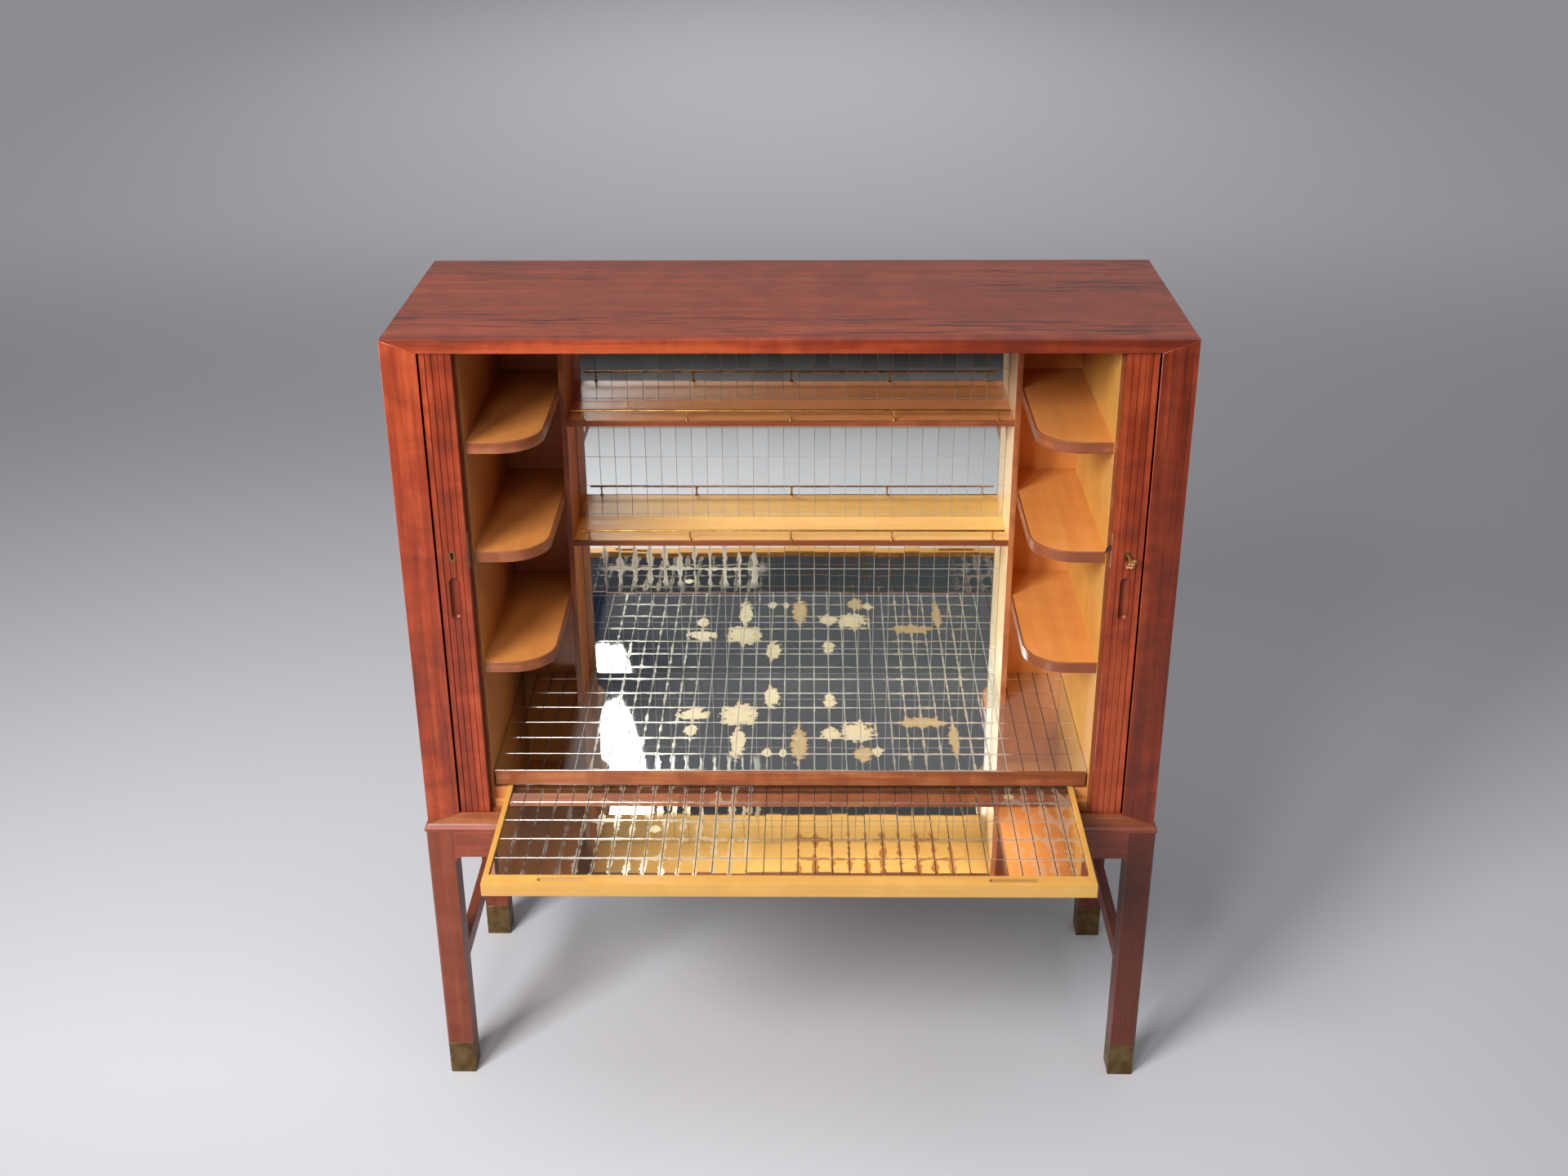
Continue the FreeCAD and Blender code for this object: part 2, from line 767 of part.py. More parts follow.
def hook_pin(s):
    """The pin across the case that the hook turns on."""
    x = s * (open_lead + hook_pivot_from_edge)
    half = lock_case_thickness / 2
    start = V(x, lock_middle - half, hook_level)
    return bar_between(start, V(x, lock_middle + half, hook_level), hook_pin_radius)


def hook_bolt(s):
    """A beaked bolt that swings out of the edge and hooks down behind the strike."""
    pivot = V(s * (open_lead + hook_pivot_from_edge), lock_middle - hook_thickness / 2, hook_level)

    def at(u, w):
        return pivot + V(-s * u, 0, w)

    shoulder = hook_reach * DIAGONAL_SHARE
    throat = hook_pivot_from_edge + lock_plate_thickness + meeting_gap + hook_throat_gap
    edges = [
        Part.LineSegment(at(0, hook_boss_radius), at(shoulder - hook_boss_radius, hook_boss_radius)),
        Part.Arc(
            at(shoulder - hook_boss_radius, hook_boss_radius),
            at(hook_reach - hook_tip_drop / 2, hook_boss_radius / 2),
            at(hook_reach, -hook_tip_drop),
        ),
        Part.LineSegment(at(hook_reach, -hook_tip_drop), at(throat, -hook_neck_drop)),
        Part.LineSegment(at(throat, -hook_neck_drop), at(0, -hook_boss_radius * DIAGONAL_SHARE)),
        Part.LineSegment(at(0, -hook_boss_radius * DIAGONAL_SHARE), at(0, hook_boss_radius)),
    ]
    thick = V(0, hook_thickness, 0)
    beak = Part.Face(Part.Wire([e.toShape() for e in edges])).extrude(thick)
    boss = bar_between(pivot, pivot + thick, hook_boss_radius)
    bore = bar_between(pivot - thick, pivot + thick * 2, hook_pin_radius + seat_gap)
    return join([beak, boss]).cut(bore)


def bow_ring(centre):
    """One flat ring of the key's openwork bow."""
    half = V(0, 0, key_bow_wire_radius)
    outer = bar_between(centre - half, centre + half, key_bow_ring_radius + key_bow_wire_radius)
    hole = bar_between(centre - half, centre + half, key_bow_ring_radius - key_bow_wire_radius)
    return outer.cut(hole)


def key(s):
    """A key standing in the lock: bit, shank, collar and an openwork bow of three rings."""
    x = s * (open_lead + keyhole_from_edge)
    inner = V(x, door_face + key_reach_in, keyhole_level)
    outer = V(x, door_face - key_reach_out, keyhole_level)
    outwards = V(0, -1, 0)
    shank = bar_between(inner, outer, key_shank_radius)
    collar = bar_between(outer, outer - outwards * key_collar_length, key_collar_radius)
    half = key_bit_thickness / 2
    z = keyhole_level
    bit = box(x, x - s * key_bit_length, inner.y - key_bit_width, inner.y, z - half, z + half)
    reach = key_bow_ring_radius + key_bow_wire_radius / 2
    across = V(reach, 0, 0)
    near = outer + outwards * reach
    far = near + outwards * (reach * 2 * DIAGONAL_SHARE)
    rings = [bow_ring(centre) for centre in (near - across, near + across, far)]
    whole = join([shank, collar, bit] + rings)
    whole.rotate(outer, outwards, key_turn_at_rest)
    return whole


def door_parts(side, s):
    """One tambour leaf, laid where it rests when the door is open."""
    across, deep = V(s, 0, 0), V(0, 1, 0)
    slat_start = open_lead + lead_width
    lead = lead_stile(s)
    parts = {
        side + "_front_slat": slat(V(s * slat_start, door_face, slat_bottom), across, deep),
        side + "_escutcheon": escutcheon(s),
    }
    outer_x = s * (track_x + slat_thickness / 2)
    outer_y = track_back + slat_thickness / 2
    parts[side + "_side_slats"] = leaf_run(side_slat_count, outer_x, bend_front, deep, -across)
    parts[side + "_back_slats"] = leaf_run(back_slat_count, s * bend_x, outer_y, -across, -deep)
    return lead, parts


def all_parts():
    """Every sub-part of the cabinet by name."""
    parts = {}
    parts.update(stand_parts())
    parts.update(carcass_parts())
    parts.update(interior_parts())
    parts.update(tray_parts())
    left, right = SIDES["left"], SIDES["right"]
    lead, leaf = door_parts("left", left)
    parts.update(leaf)
    parts["left_lead_stile"] = lead.cut(edge_plate(left)).cut(strike_pocket(left))
    parts["strike_plate"] = edge_plate(left).cut(hook_slot(left, lock_plate_thickness + overrun))
    lead, leaf = door_parts("right", right)
    parts.update(leaf)
    mortise = join([edge_plate(right), lock_block(right, 0)])
    parts["right_lead_stile"] = lead.cut(mortise)
    parts["lock_case"] = lock_case(right)
    parts["hook_bolt"] = hook_bolt(right)
    parts["key"] = key(right)
    return parts


def main():
    os.makedirs("parts", exist_ok=True)
    for name, shape in all_parts().items():
        shape.exportStep("parts/" + name + ".step")


if __name__ == "__main__":
    main()
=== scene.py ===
import math
import random

import bmesh
import bpy
from bpy.props import FloatProperty, FloatVectorProperty, IntProperty, PointerProperty
from mathutils import Euler, Matrix, Vector, noise


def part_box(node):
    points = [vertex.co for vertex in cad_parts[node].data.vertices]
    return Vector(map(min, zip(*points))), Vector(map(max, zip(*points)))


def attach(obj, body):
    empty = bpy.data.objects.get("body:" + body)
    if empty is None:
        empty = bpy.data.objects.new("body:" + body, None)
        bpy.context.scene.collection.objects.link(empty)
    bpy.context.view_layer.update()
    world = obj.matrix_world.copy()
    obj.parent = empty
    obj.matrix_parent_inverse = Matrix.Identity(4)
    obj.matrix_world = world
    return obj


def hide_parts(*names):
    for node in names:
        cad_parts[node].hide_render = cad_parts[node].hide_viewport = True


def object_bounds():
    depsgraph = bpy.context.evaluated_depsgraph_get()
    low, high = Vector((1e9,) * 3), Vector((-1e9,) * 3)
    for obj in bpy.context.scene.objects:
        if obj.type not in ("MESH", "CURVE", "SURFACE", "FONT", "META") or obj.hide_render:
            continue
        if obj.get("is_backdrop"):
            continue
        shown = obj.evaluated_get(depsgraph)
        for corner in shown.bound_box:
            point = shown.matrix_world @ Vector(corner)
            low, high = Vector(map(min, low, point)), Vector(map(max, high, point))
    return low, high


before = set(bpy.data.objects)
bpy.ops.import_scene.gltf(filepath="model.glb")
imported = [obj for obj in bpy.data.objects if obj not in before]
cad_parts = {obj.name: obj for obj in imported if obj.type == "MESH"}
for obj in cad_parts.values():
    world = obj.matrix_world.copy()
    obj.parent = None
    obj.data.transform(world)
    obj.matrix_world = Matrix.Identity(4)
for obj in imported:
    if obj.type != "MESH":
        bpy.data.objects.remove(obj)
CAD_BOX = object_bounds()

bl_info = {
    "name": "Cabinet on stand",
    "version": (1, 0, 0),
    "blender": (4, 5, 0),
    "location": "3D View > Sidebar > Cabinet",
    "description": "Dresses a tambour cabinet in wood, brass and mirror mosaic",
    "category": "Add Mesh",
}

AXES = "xyz"
BLACK, WHITE = (0, 0, 0, 1), (1, 1, 1, 1)

# Places on the cabinet, in metres
FRAME_SEAM = -0.1895  # front frame and boards meet here, flush
DIVIDER = (0.345, 0.365)  # the dividers stand between these distances from the middle
SCOOP_MARK = 0.0014  # what lies deeper than the tambour's grooves is a scoop or a hole
SHORTEST_ARRIS = 0.006  # shorter edges stay sharp
WELD = 1e-6  # points nearer than this are one
FLUSH = 1e-5  # points nearer than this to a plane lie in it
TILE_COLUMN = -0.3166  # a joint between two columns, the same on wall, floor and tray
WALL_ROW, FLOOR_ROW, TRAY_ROW = 0.9796, 0.0245, -0.2758  # a joint between two rows of each
GALLERY_POSTS = (-0.328, -0.164, 0.0, 0.164, 0.328)
RAIL_END = 0.7  # rounding of a gallery rail's ends, in shares of its radius

# Angles between two faces
FLAT_BELOW = math.radians(0.5)  # the two are one flat face
SQUARE = (math.radians(70), math.radians(110))  # near enough a square corner
WOOD_ROUND_BELOW, BRASS_ROUND_BELOW = math.radians(22), math.radians(50)  # the two are one round surface
FORWARDS = -0.4  # a face whose normal has less than this along y looks forwards

# A gallery post from shelf to rail, in shares of its radius and of its height
POST_PROFILE = ((0, 0), (2.3, 0), (2.3, 0.07), (1.5, 0.13), (1.0, 0.2), (1.0, 0.7), (1.5, 0.78), (1.5, 0.84),
                (1.0, 0.9), (1.0, 1.0))

# Shade of a piece within its wood, from 0 for the darkest to 1 for the palest; the others are drawn by lot
# Some listed shades are painted shade: the left compartment's shelves and liner are darker where the left post shades
# them. The right front post and the front right leg are listed darker than the left ones
LEG_SHADES = {"front_right_leg": 0.0, "front_left_leg": 0.55}
APRON_SHADE = 0.85
CARCASS = (("top_board", "x", 0.7), ("top_front_rail", "x", 0.55), ("bottom_board", "x", 0.7),
           ("bottom_front_rail", "x", 1.0), ("left_side", "z", 0.7), ("right_side", "z", 0.5),
           ("left_front_post", "z", 0.68), ("right_front_post", "z", 0.35), ("back_panel", "x", 0.6))
MAPLE_SHADES = (("left_side_shelves", 0.3), ("right_side_shelves", 0.7), ("floor_board", 0.6), ("upper_shelf", 1.0),
                ("tray_runners", 0.6))
STILE_SHADES = {"left": 0.85}

# Scoops: the way that they face, and how dark the shade painted in them is
TRAY_SCOOP = ((0, 0, 1), 0.75)
DOOR_SCOOP = ((0, -1, 0), 0.3)


# Sizes and colours that a user would change

def length(name, text, value):
    return FloatProperty(name=name, description=text, default=value, min=0.0, subtype="DISTANCE", unit="LENGTH",
                         precision=5)


def angle(name, text, degrees):
    return FloatProperty(name=name, description=text, default=math.radians(degrees), subtype="ANGLE",
                         unit="ROTATION")


def power(name, text, value):
    return FloatProperty(name=name, description=text, default=value, min=0.0, unit="POWER")


def colour(name, text, value):
    return FloatVectorProperty(name=name, description=text, default=[c / 255 for c in value], size=3, min=0.0,
                               max=1.0, subtype="COLOR_GAMMA")


class CabinetSizes(bpy.types.PropertyGroup):
    """Small sizes of the finish"""
    tile_width: length("Tile width", "Pitch of the mirror tiles from side to side", 0.0254)
    wall_tile_height: length("Wall tile height", "Pitch of the back mirror's rows", 0.05095)
    floor_tile_depth: length("Floor tile depth", "Pitch of the floor mirror's rows", 0.0509)
    tray_tile_depth: length("Tray tile depth", "Pitch of the tray mirror's rows", 0.0519)
    wall_joint: length("Wall joint", "Gap between two tiles of the back mirror", 0.0003)
    wall_bevel: length("Wall bevel", "Width of the ground edge of a tile of the back mirror", 0.0003)
    tile_joint: length("Tile joint", "Gap between two rows of tiles of floor and tray", 0.0004)
    tile_seam: length("Tile seam", "Gap between two columns of tiles of floor and tray", 0.0002)
    tile_bevel: length("Tile bevel", "Width of the ground edge of a tile of floor and tray", 0.0006)
    edge_drop: FloatProperty(name="Edge drop", description="How much deeper than wide the ground edge of a tile is",
                             default=2.2, min=1.0)
    tile_tilt: angle("Tile tilt", "Most that a tile leans by itself", 0.07)
    tile_wave: angle("Tile wave", "Most that the tiles lean with the ground below them", 0.2)
    arris: length("Arris", "Width of the softened edge of the woodwork", 0.0008)
    fine_arris: length("Fine arris", "Width of the softened edge of small pieces", 0.0004)
    rail_radius: length("Gallery rail radius", "Radius of the brass rail", 0.0018)
    post_radius: length("Gallery post radius", "Radius of the brass posts", 0.0014)
    tile_seed: IntProperty(name="Tile seed", description="Start of the tiles' random lean", default=7)


class CabinetColours(bpy.types.PropertyGroup):
    """Colours of the finish, as they are seen"""
    mahogany_light: colour("Mahogany light", "Pale figure of the outer wood", (170, 72, 34))
    mahogany: colour("Mahogany", "Body colour of the outer wood", (138, 50, 21))
    top_light: colour("Top light", "Pale figure of the top", (152, 70, 37))
    top: colour("Top", "Body colour of the top", (124, 50, 25))
    mahogany_dark: colour("Mahogany dark", "Streaks and pores of the outer wood", (54, 17, 7))
    # The stand's colours are greyer than the outer wood's; the grey cast is painted sheen
    leg_light: colour("Leg light", "Pale figure of the stand", (150, 74, 46))
    leg: colour("Leg", "Body colour of the stand", (126, 57, 34))
    leg_dark: colour("Leg dark", "Streaks of the stand", (62, 24, 13))
    maple_light: colour("Maple light", "Pale figure of the inner wood", (230, 166, 94))
    maple: colour("Maple", "Body colour of the inner wood", (217, 144, 74))
    maple_dark: colour("Maple dark", "Streaks of the inner wood", (184, 108, 50))
    pale_light: colour("Pale maple light", "Pale figure of the lower shelf", (244, 208, 132))
    pale: colour("Pale maple", "Body colour of the lower shelf", (236, 190, 108))
    pale_dark: colour("Pale maple dark", "Streaks of the lower shelf", (206, 150, 72))
    # Cream: the right divider's maple drawn paler, as painted light where the key lights it
    cream: colour("Cream", "Body colour of the right divider", (238, 214, 166))
    cream_dark: colour("Cream dark", "Streaks of the right divider", (214, 178, 120))
    tray_light: colour("Tray light", "Pale figure of the tray's frame", (212, 166, 86))
    tray: colour("Tray", "Body colour of the tray's frame", (198, 148, 70))
    tray_dark: colour("Tray dark", "Streaks of the tray's frame", (180, 124, 56))
    band_light: colour("Banding light", "Pale figure of lippings and nosing", (176, 110, 66))
    band: colour("Banding", "Body colour of lippings and nosing", (130, 68, 36))
    band_dark: colour("Banding dark", "Streaks of lippings and nosing", (92, 46, 24))
    gallery: colour("Gallery brass", "Rails and posts of the galleries", (192, 148, 80))
    gallery_dark: colour("Gallery brass dark", "Tarnish on the galleries", (72, 46, 18))
    brass: colour("Brass", "Key", (164, 122, 60))
    brass_dark: colour("Brass dark", "Tarnish on the key", (96, 62, 26))
    plate: colour("Keyhole plate", "Old brass of the keyhole plates", (150, 122, 76))
    plate_dark: colour("Keyhole plate dark", "Tarnish on the keyhole plates", (74, 52, 28))
    shoe: colour("Shoe", "Old brass of the shoes", (134, 110, 74))
    shoe_dark: colour("Shoe dark", "Dirt on the shoes", (84, 64, 36))
    nickel: colour("Nickel", "Edge plates of the lock", (196, 190, 178))
    steel: colour("Steel", "Hook bolt", (92, 88, 84))
    mirror: colour("Mirror", "Silvering of the tiles", (226, 228, 224))
    tray_mirror: colour("Tray mirror", "Warmer silvering of the tray", (236, 226, 206))
    spill: colour("Spill", "Dried spill on the tiles", (214, 204, 164))
    tan: colour("Tan", "Older spill on the tiles", (184, 164, 104))
    rust: colour("Rust", "Brown stain on the tiles", (160, 92, 26))
    dust: colour("Dust", "Dust on the tiles", (148, 158, 170))
    tile_edge: colour("Tile edge", "Ground edge of the tiles", (232, 232, 228))
    floor: colour("Floor", "Studio floor", (198, 198, 203))


class CabinetStage(bpy.types.PropertyGroup):
    """Studio round the cabinet"""
    key_power: power("Key light", "Power of the softbox on the left", 72.0)
    strip_power: power("Strip light", "Power of the strip beside the camera", 26.0)
    top_power: power("Top light", "Power of the softbox overhead", 40.0)
    bounce_power: power("Mirror bounce", "Light that the floor mirror throws up into the cabinet", 1.0)
    lens: FloatProperty(name="Lens", description="Focal length of the camera in millimetres", default=41.22, min=1.0)


def linear(value):
    """A colour as it is seen, as the shader's own light values."""
    return tuple(c / 12.92 if c <= 0.04045 else ((c + 0.055) / 1.055) ** 2.4 for c in value) + (1.0,)


def scaled(tone, share):
    """A shader colour made darker or paler."""
    return tuple(v * share for v in tone[:3]) + (1.0,)


# Shader maths and finishes

class Wire:
    """A value in a finish: arithmetic on it adds Math nodes."""

    def __init__(self, finish, socket):
        self.finish, self.socket = finish, socket

    def math(self, operation, *values):
        return self.finish.node("ShaderNodeMath", {"operation": operation}, dict(enumerate(values)))

    def __add__(self, other):
        return self.math("ADD", self, other)

    __radd__ = __add__

    def __mul__(self, other):
        return self.math("MULTIPLY", self, other)

    __rmul__ = __mul__

    def __sub__(self, other):
        return self.math("SUBTRACT", self, other)

    def __rsub__(self, other):
        return self.math("SUBTRACT", other, self)

    def __truediv__(self, other):
        return self.math("DIVIDE", self, other)

    def __rtruediv__(self, other):
        return self.math("DIVIDE", other, self)

    def __or__(self, other):
        return self.math("MAXIMUM", self, other)

    __ror__ = __or__

    def __and__(self, other):
        return self.math("MINIMUM", self, other)

    __rand__ = __and__

    def __abs__(self):
        return self.math("ABSOLUTE", self)

    def fold(self, span):
        """Runs up to span and back to 0, over and over."""
        return self.math("PINGPONG", self, span)

    def step(self, low, high):
        """0 below low, 1 above high, smooth between; the two may be swapped."""
        return self.finish.node("ShaderNodeMapRange", {"interpolation_type": "SMOOTHSTEP"},
                                {0: self, 1: low, 2: high, 3: 0.0, 4: 1.0})


class Finish:
    """A material under construction."""

    def __init__(self, tree):
        self.tree = tree
        tree.nodes.clear()

    def node(self, kind, settings=None, inputs=None, output=0):
        made = self.tree.nodes.new(kind)
        for key, value in (settings or {}).items():
            if key == "stops":
                ramp = made.color_ramp
                while len(ramp.elements) < len(value):
                    ramp.elements.new(1.0)
                for element, (position, tint) in zip(ramp.elements, value):
                    element.position, element.color = position, tint
            else:
                setattr(made, key, value)
        for key, value in (inputs or {}).items():
            if isinstance(value, Wire):
                self.tree.links.new(value.socket, made.inputs[key])
            else:
                made.inputs[key].default_value = value
        return Wire(self, made.outputs[output]) if made.outputs else None

    def mix(self, share, first, second, blend="MIX"):
        return self.node("ShaderNodeMix", {"data_type": "RGBA", "blend_type": blend},
                         {0: share, 6: first, 7: second}, 2)

    def vector(self, operation, first, second, output=0):
        return self.node("ShaderNodeVectorMath", {"operation": operation}, {0: first, 1: second}, output)

    def span(self, where, centre, stretch):
        """Distance from a centre, with each axis stretched."""
        gap = self.vector("MULTIPLY", self.vector("SUBTRACT", where, centre), stretch)
        return self.vector("LENGTH", gap, (0, 0, 0), "Value")

    def part(self, where, axis):
        return self.node("ShaderNodeSeparateXYZ", None, {0: where}, axis)

    def place(self):
        return self.node("ShaderNodeTexCoord", output="Object")

    def own(self, name):
        return self.node("ShaderNodeAttribute", {"attribute_name": name}, output="Fac")

    def noise(self, where, scale=1.0, detail=2.0, roughness=0.5, distortion=0.0):
        return self.node("ShaderNodeTexNoise", None, {"Vector": where, "Scale": scale, "Detail": detail,
                                                      "Roughness": roughness, "Distortion": distortion})

    def ramp(self, value, *stops):
        return self.node("ShaderNodeValToRGB", {"stops": stops}, {0: value})

    def bump(self, height, strength, distance):
        return self.node("ShaderNodeBump", None, {"Strength": strength, "Distance": distance, "Height": height})

    def surface(self, **sockets):
        inputs = {key.replace("_", " ").title().replace("Ior", "IOR"): value for key, value in sockets.items()}
        shader = self.node("ShaderNodeBsdfPrincipled", None, inputs)
        self.node("ShaderNodeOutputMaterial", None, {"Surface": shader})


def material(name, make):
    """The named material, made on first use by a function that fills its nodes."""
    found = bpy.data.materials.get(name)
    if found is None:
        found = bpy.data.materials.new(name)
        found.use_nodes = True
        make(Finish(found.node_tree))
    return found


# How far the grain moves along each axis for a piece of full shade, so that no two pieces are cut alike
GRAIN_SHIFT = (3.7, 5.3, 7.1)
# What the darkest and the palest piece of a wood are multiplied by
DARK_PIECE, PALE_PIECE = (0.55, 0.53, 0.5, 1), (1.12, 1.12, 1.12, 1)


def wood(light, body, dark, axis, lines=0.5, figure=0.3, roughness=0.34, coat=0.2, sheen=0.5, streak=160, short=30):
    """Fills a finish with long grained wood: figure, dark lines in clusters and pores run along the axes named."""
    light, body, dark = linear(light), linear(body), linear(dark)
    shadow = tuple((a + b) / 2 for a, b in zip(body, dark))

    def fill(f):
        piece = f.own("piece")
        shift = f.node("ShaderNodeCombineXYZ", None, {i: piece * reach for i, reach in enumerate(GRAIN_SHIFT)})
        plank = f.vector("ADD", f.place(), shift)

        def along(across, run):
            return f.vector("MULTIPLY", plank, [run if a in axis else across for a in AXES])

        broad = f.noise(along(8, 0.9), detail=2, distortion=0.4).step(0.28, 0.72)
        vein = f.noise(along(58, 2.4), detail=4, roughness=0.62, distortion=0.3).step(0.3, 0.7)
        curl = f.noise(along(14, 22), detail=3, roughness=0.55, distortion=0.5).step(0.3, 0.7)
        cluster = f.noise(along(10, 1.3), detail=2).step(0.46, 0.66)
        line = f.noise(along(streak, streak / short), detail=3, roughness=0.6).step(0.49, 0.62)
        line = line * (cluster * 0.88 + 0.12)
        fine = f.noise(along(520, 9), detail=2)
        pores = f.noise(along(1500, 45), detail=1).step(0.58, 0.72)
        grain = broad * 0.34 + vein * 0.3 + curl * 0.22 + fine * 0.14
        tone = f.ramp((grain - 0.5) * (figure * 3.4) + 0.5, (0.12, shadow), (0.5, body), (0.88, light))
        tone = f.mix(line * lines, tone, dark)
        tone = f.mix(pores * (0.3 * lines + 0.1), tone, dark)
        # The piece's shade, drawn by lot or listed; some listed shades are painted shade
        tone = f.mix(1.0, tone, f.mix(piece, DARK_PIECE, PALE_PIECE), "MULTIPLY")
        # Painted highlight: eased arrises are drawn halfway towards the pale figure colour
        tone = f.mix(f.own("arris") * 0.5, tone, light)
        # Painted shade: faces in scooped hollows are darkened towards the dark streak colour
        tone = f.mix(f.own("hollow"), tone, scaled(dark, 0.6))
        f.surface(base_color=tone, roughness=roughness + vein * 0.08 + pores * 0.15,
                  normal=f.bump(fine * 0.5 - pores - line * 0.5, 0.16, 0.0003),
                  coat_weight=coat, coat_roughness=0.18, specular_ior_level=sheen)
    return fill


def metal(body, dark, roughness, tarnish):
    """Fills a finish with handled metal: tarnish in clouds, fine scratches."""
    body, dark = linear(body), linear(dark)

    def fill(f):
        place = f.place()
        cloud = f.noise(place, 45, 4, 0.6).step(0.38, 0.68)
        speck = f.noise(place, 420, 3, 0.6).step(0.5, 0.7)
        scratch = f.noise(f.vector("MULTIPLY", place, (300, 2600, 900)), 1, 2)
        tone = f.mix(cloud * tarnish + speck * 0.2 * tarnish, body, dark)
        f.surface(base_color=tone, metallic=1.0, roughness=roughness + cloud * 0.16 + scratch * 0.1,
                  normal=f.bump(scratch - speck * 0.6, 0.12, 0.0002))
    return fill


# Each wood: its pale, body and dark colours, and what is its own in its grain and polish
WOODS = {
    "mahogany": ("mahogany_light", "mahogany", "mahogany_dark", dict(lines=0.4, figure=0.44, coat=0.12, sheen=0.38)),
    "top_mahogany": ("top_light", "top", "mahogany_dark",
                     dict(lines=0.9, figure=0.22, coat=0.15, sheen=0.4, streak=95, short=13)),
    "stand_mahogany": ("leg_light", "leg", "leg_dark", dict(lines=0.5, figure=0.3, coat=0.1, sheen=0.4)),
    "honey_maple": ("maple_light", "maple", "maple_dark", dict(lines=0.1, figure=0.16, roughness=0.36, coat=0.15)),
    "pale_maple": ("pale_light", "pale", "pale_dark",
                   dict(lines=0.08, figure=0.16, roughness=0.36, coat=0.05, sheen=0.3)),
    # The right divider's wood: paler than the maple, as painted light
    "cream_maple": ("cream", "cream", "cream_dark", dict(lines=0.05, figure=0.14, roughness=0.3, coat=0.2)),
    "tray_maple": ("tray_light", "tray", "tray_dark", dict(lines=0.12, figure=0.22, roughness=0.36, coat=0.15)),
    "lipping": ("band_light", "band", "band_dark",
                dict(lines=0.4, figure=0.3, roughness=0.36, coat=0.05, sheen=0.25)),
    # The left divider's wood: darker than the maple, as painted shade
    "shaded_banding": ("maple_dark", "band_light", "band_dark",
                       dict(lines=0.3, figure=0.3, roughness=0.5, coat=0.0, sheen=0.12)),
    "laid_banding": ("band_light", "band", "band_dark", dict(lines=0.5, figure=0.3, roughness=0.38, coat=0.1)),
}

# Each metal: its colour, its tarnish as a colour or as a share of the first, its roughness, and how far it is
# tarnished
METALS = {
    "brass": ("brass", "brass_dark", 0.34, 0.5),
    "gallery_brass": ("gallery", "gallery_dark", 0.28, 0.5),
    "plate_brass": ("plate", "plate_dark", 0.3, 0.8),
    "old_brass": ("shoe", "shoe_dark", 0.36, 0.6),
    "nickel": ("nickel", 0.6, 0.24, 0.4),
    "hook_steel": ("steel", 0.55, 0.34, 0.5),
}


def plain_wood(name, axis):
    """Fills a finish with the named wood, its grain along the axes given."""
    *tints, kind = WOODS[name]
    return wood(*(getattr(bpy.context.scene.cabinet_colours, tint) for tint in tints), axis, **kind)


def grains(name):
    """One wood in three materials, by the axis that its grain runs along."""
    return {axis: material(f"{name}_{axis}", plain_wood(name, axis)) for axis in AXES}


def laid_banding():
    """Banding whose grain goes round the shelf, so only its height changes it."""
    return dict.fromkeys(AXES, material("laid_banding", plain_wood("laid_banding", "xy")))


def plain_metal(name):
    """The named metal."""
    body, dark, roughness, tarnish = METALS[name]
    body = getattr(bpy.context.scene.cabinet_colours, body)
    dark = getattr(bpy.context.scene.cabinet_colours, dark) if isinstance(dark, str) else [v * dark for v in body]
    return material(name, metal(body, dark, roughness, tarnish))


# Dried spills on the mirror tiles, in metres: middle and half sizes in the tiles' plane
FLOOR_SPILLS = ((-0.087, 0.000, 0.030, 0.036), (-0.163, 0.000, 0.024, 0.021), (-0.033, 0.062, 0.013, 0.034),
                (0.065, 0.048, 0.010, 0.025), (-0.165, -0.053, 0.012, 0.016), (0.065, -0.063, 0.016, 0.020),
                (0.110, -0.058, 0.027, 0.032), (0.141, -0.119, 0.010, 0.013), (-0.038, -0.124, 0.008, 0.012),
                (-0.012, -0.124, 0.007, 0.011), (-0.086, -0.092, 0.012, 0.050))
FLOOR_TANS = ((0.014, -0.098, 0.014, 0.054), (0.117, -0.128, 0.015, 0.024), (0.267, -0.080, 0.009, 0.048),
              (0.219, -0.026, 0.036, 0.018))
TRAY_SPILLS = ((-0.205, -0.300, 0.008, 0.012),)
TRAY_TANS = ((0.345, -0.205, 0.009, 0.007),)
# Films of dried drink that creep out of the joints: from and to across, from and to along (upwards on the wall),
# creep in shares of a tile, colour, share, and how far the film dulls the silvering
WALL_FILMS = ((-0.345, -0.03, 0.735, 0.826, 0.26, "spill", 0.5, 1.0),)
FLOOR_FILMS = ((-0.36, -0.12, -0.19, 0.16, 0.11, "spill", 0.6, 1.0),
               (-0.12, 0.14, -0.19, 0.16, 0.07, "spill", 0.6, 1.0),
               (0.14, 0.36, -0.19, 0.16, 0.12, "tan", 0.7, 1.0))
TRAY_FILMS = ((-0.46, -0.26, -0.44, -0.12, 0.12, "dust", 0.3, 1.0),
              (-0.36, -0.03, -0.44, -0.14, 0.27, "spill", 0.42, 0.85),
              (-0.02, 0.28, -0.445, -0.30, 0.26, "rust", 0.8, 0.15),
              (-0.01, 0.40, -0.30, -0.14, 0.06, "tan", 0.5, 1.0),
              (0.30, 0.56, -0.445, -0.14, 0.5, "tan", 0.25, 1.0))
FILM_FADE = (0.05, 0.02)  # a film ends over these lengths, across and along
# Dust: how thick it lies, and from where across
FLOOR_DUST, TRAY_DUST = (0.21, -0.355), (0.05, -1.0)
FLOOR_WEAR = 0.03  # bare strip beside the floor's rows, in shares of a tile
# The rows of the floor behind this line are bedded with a slight slope to the back, drawn as a fall in the bump
FLOOR_TIP = (FLOOR_ROW, -335.0)

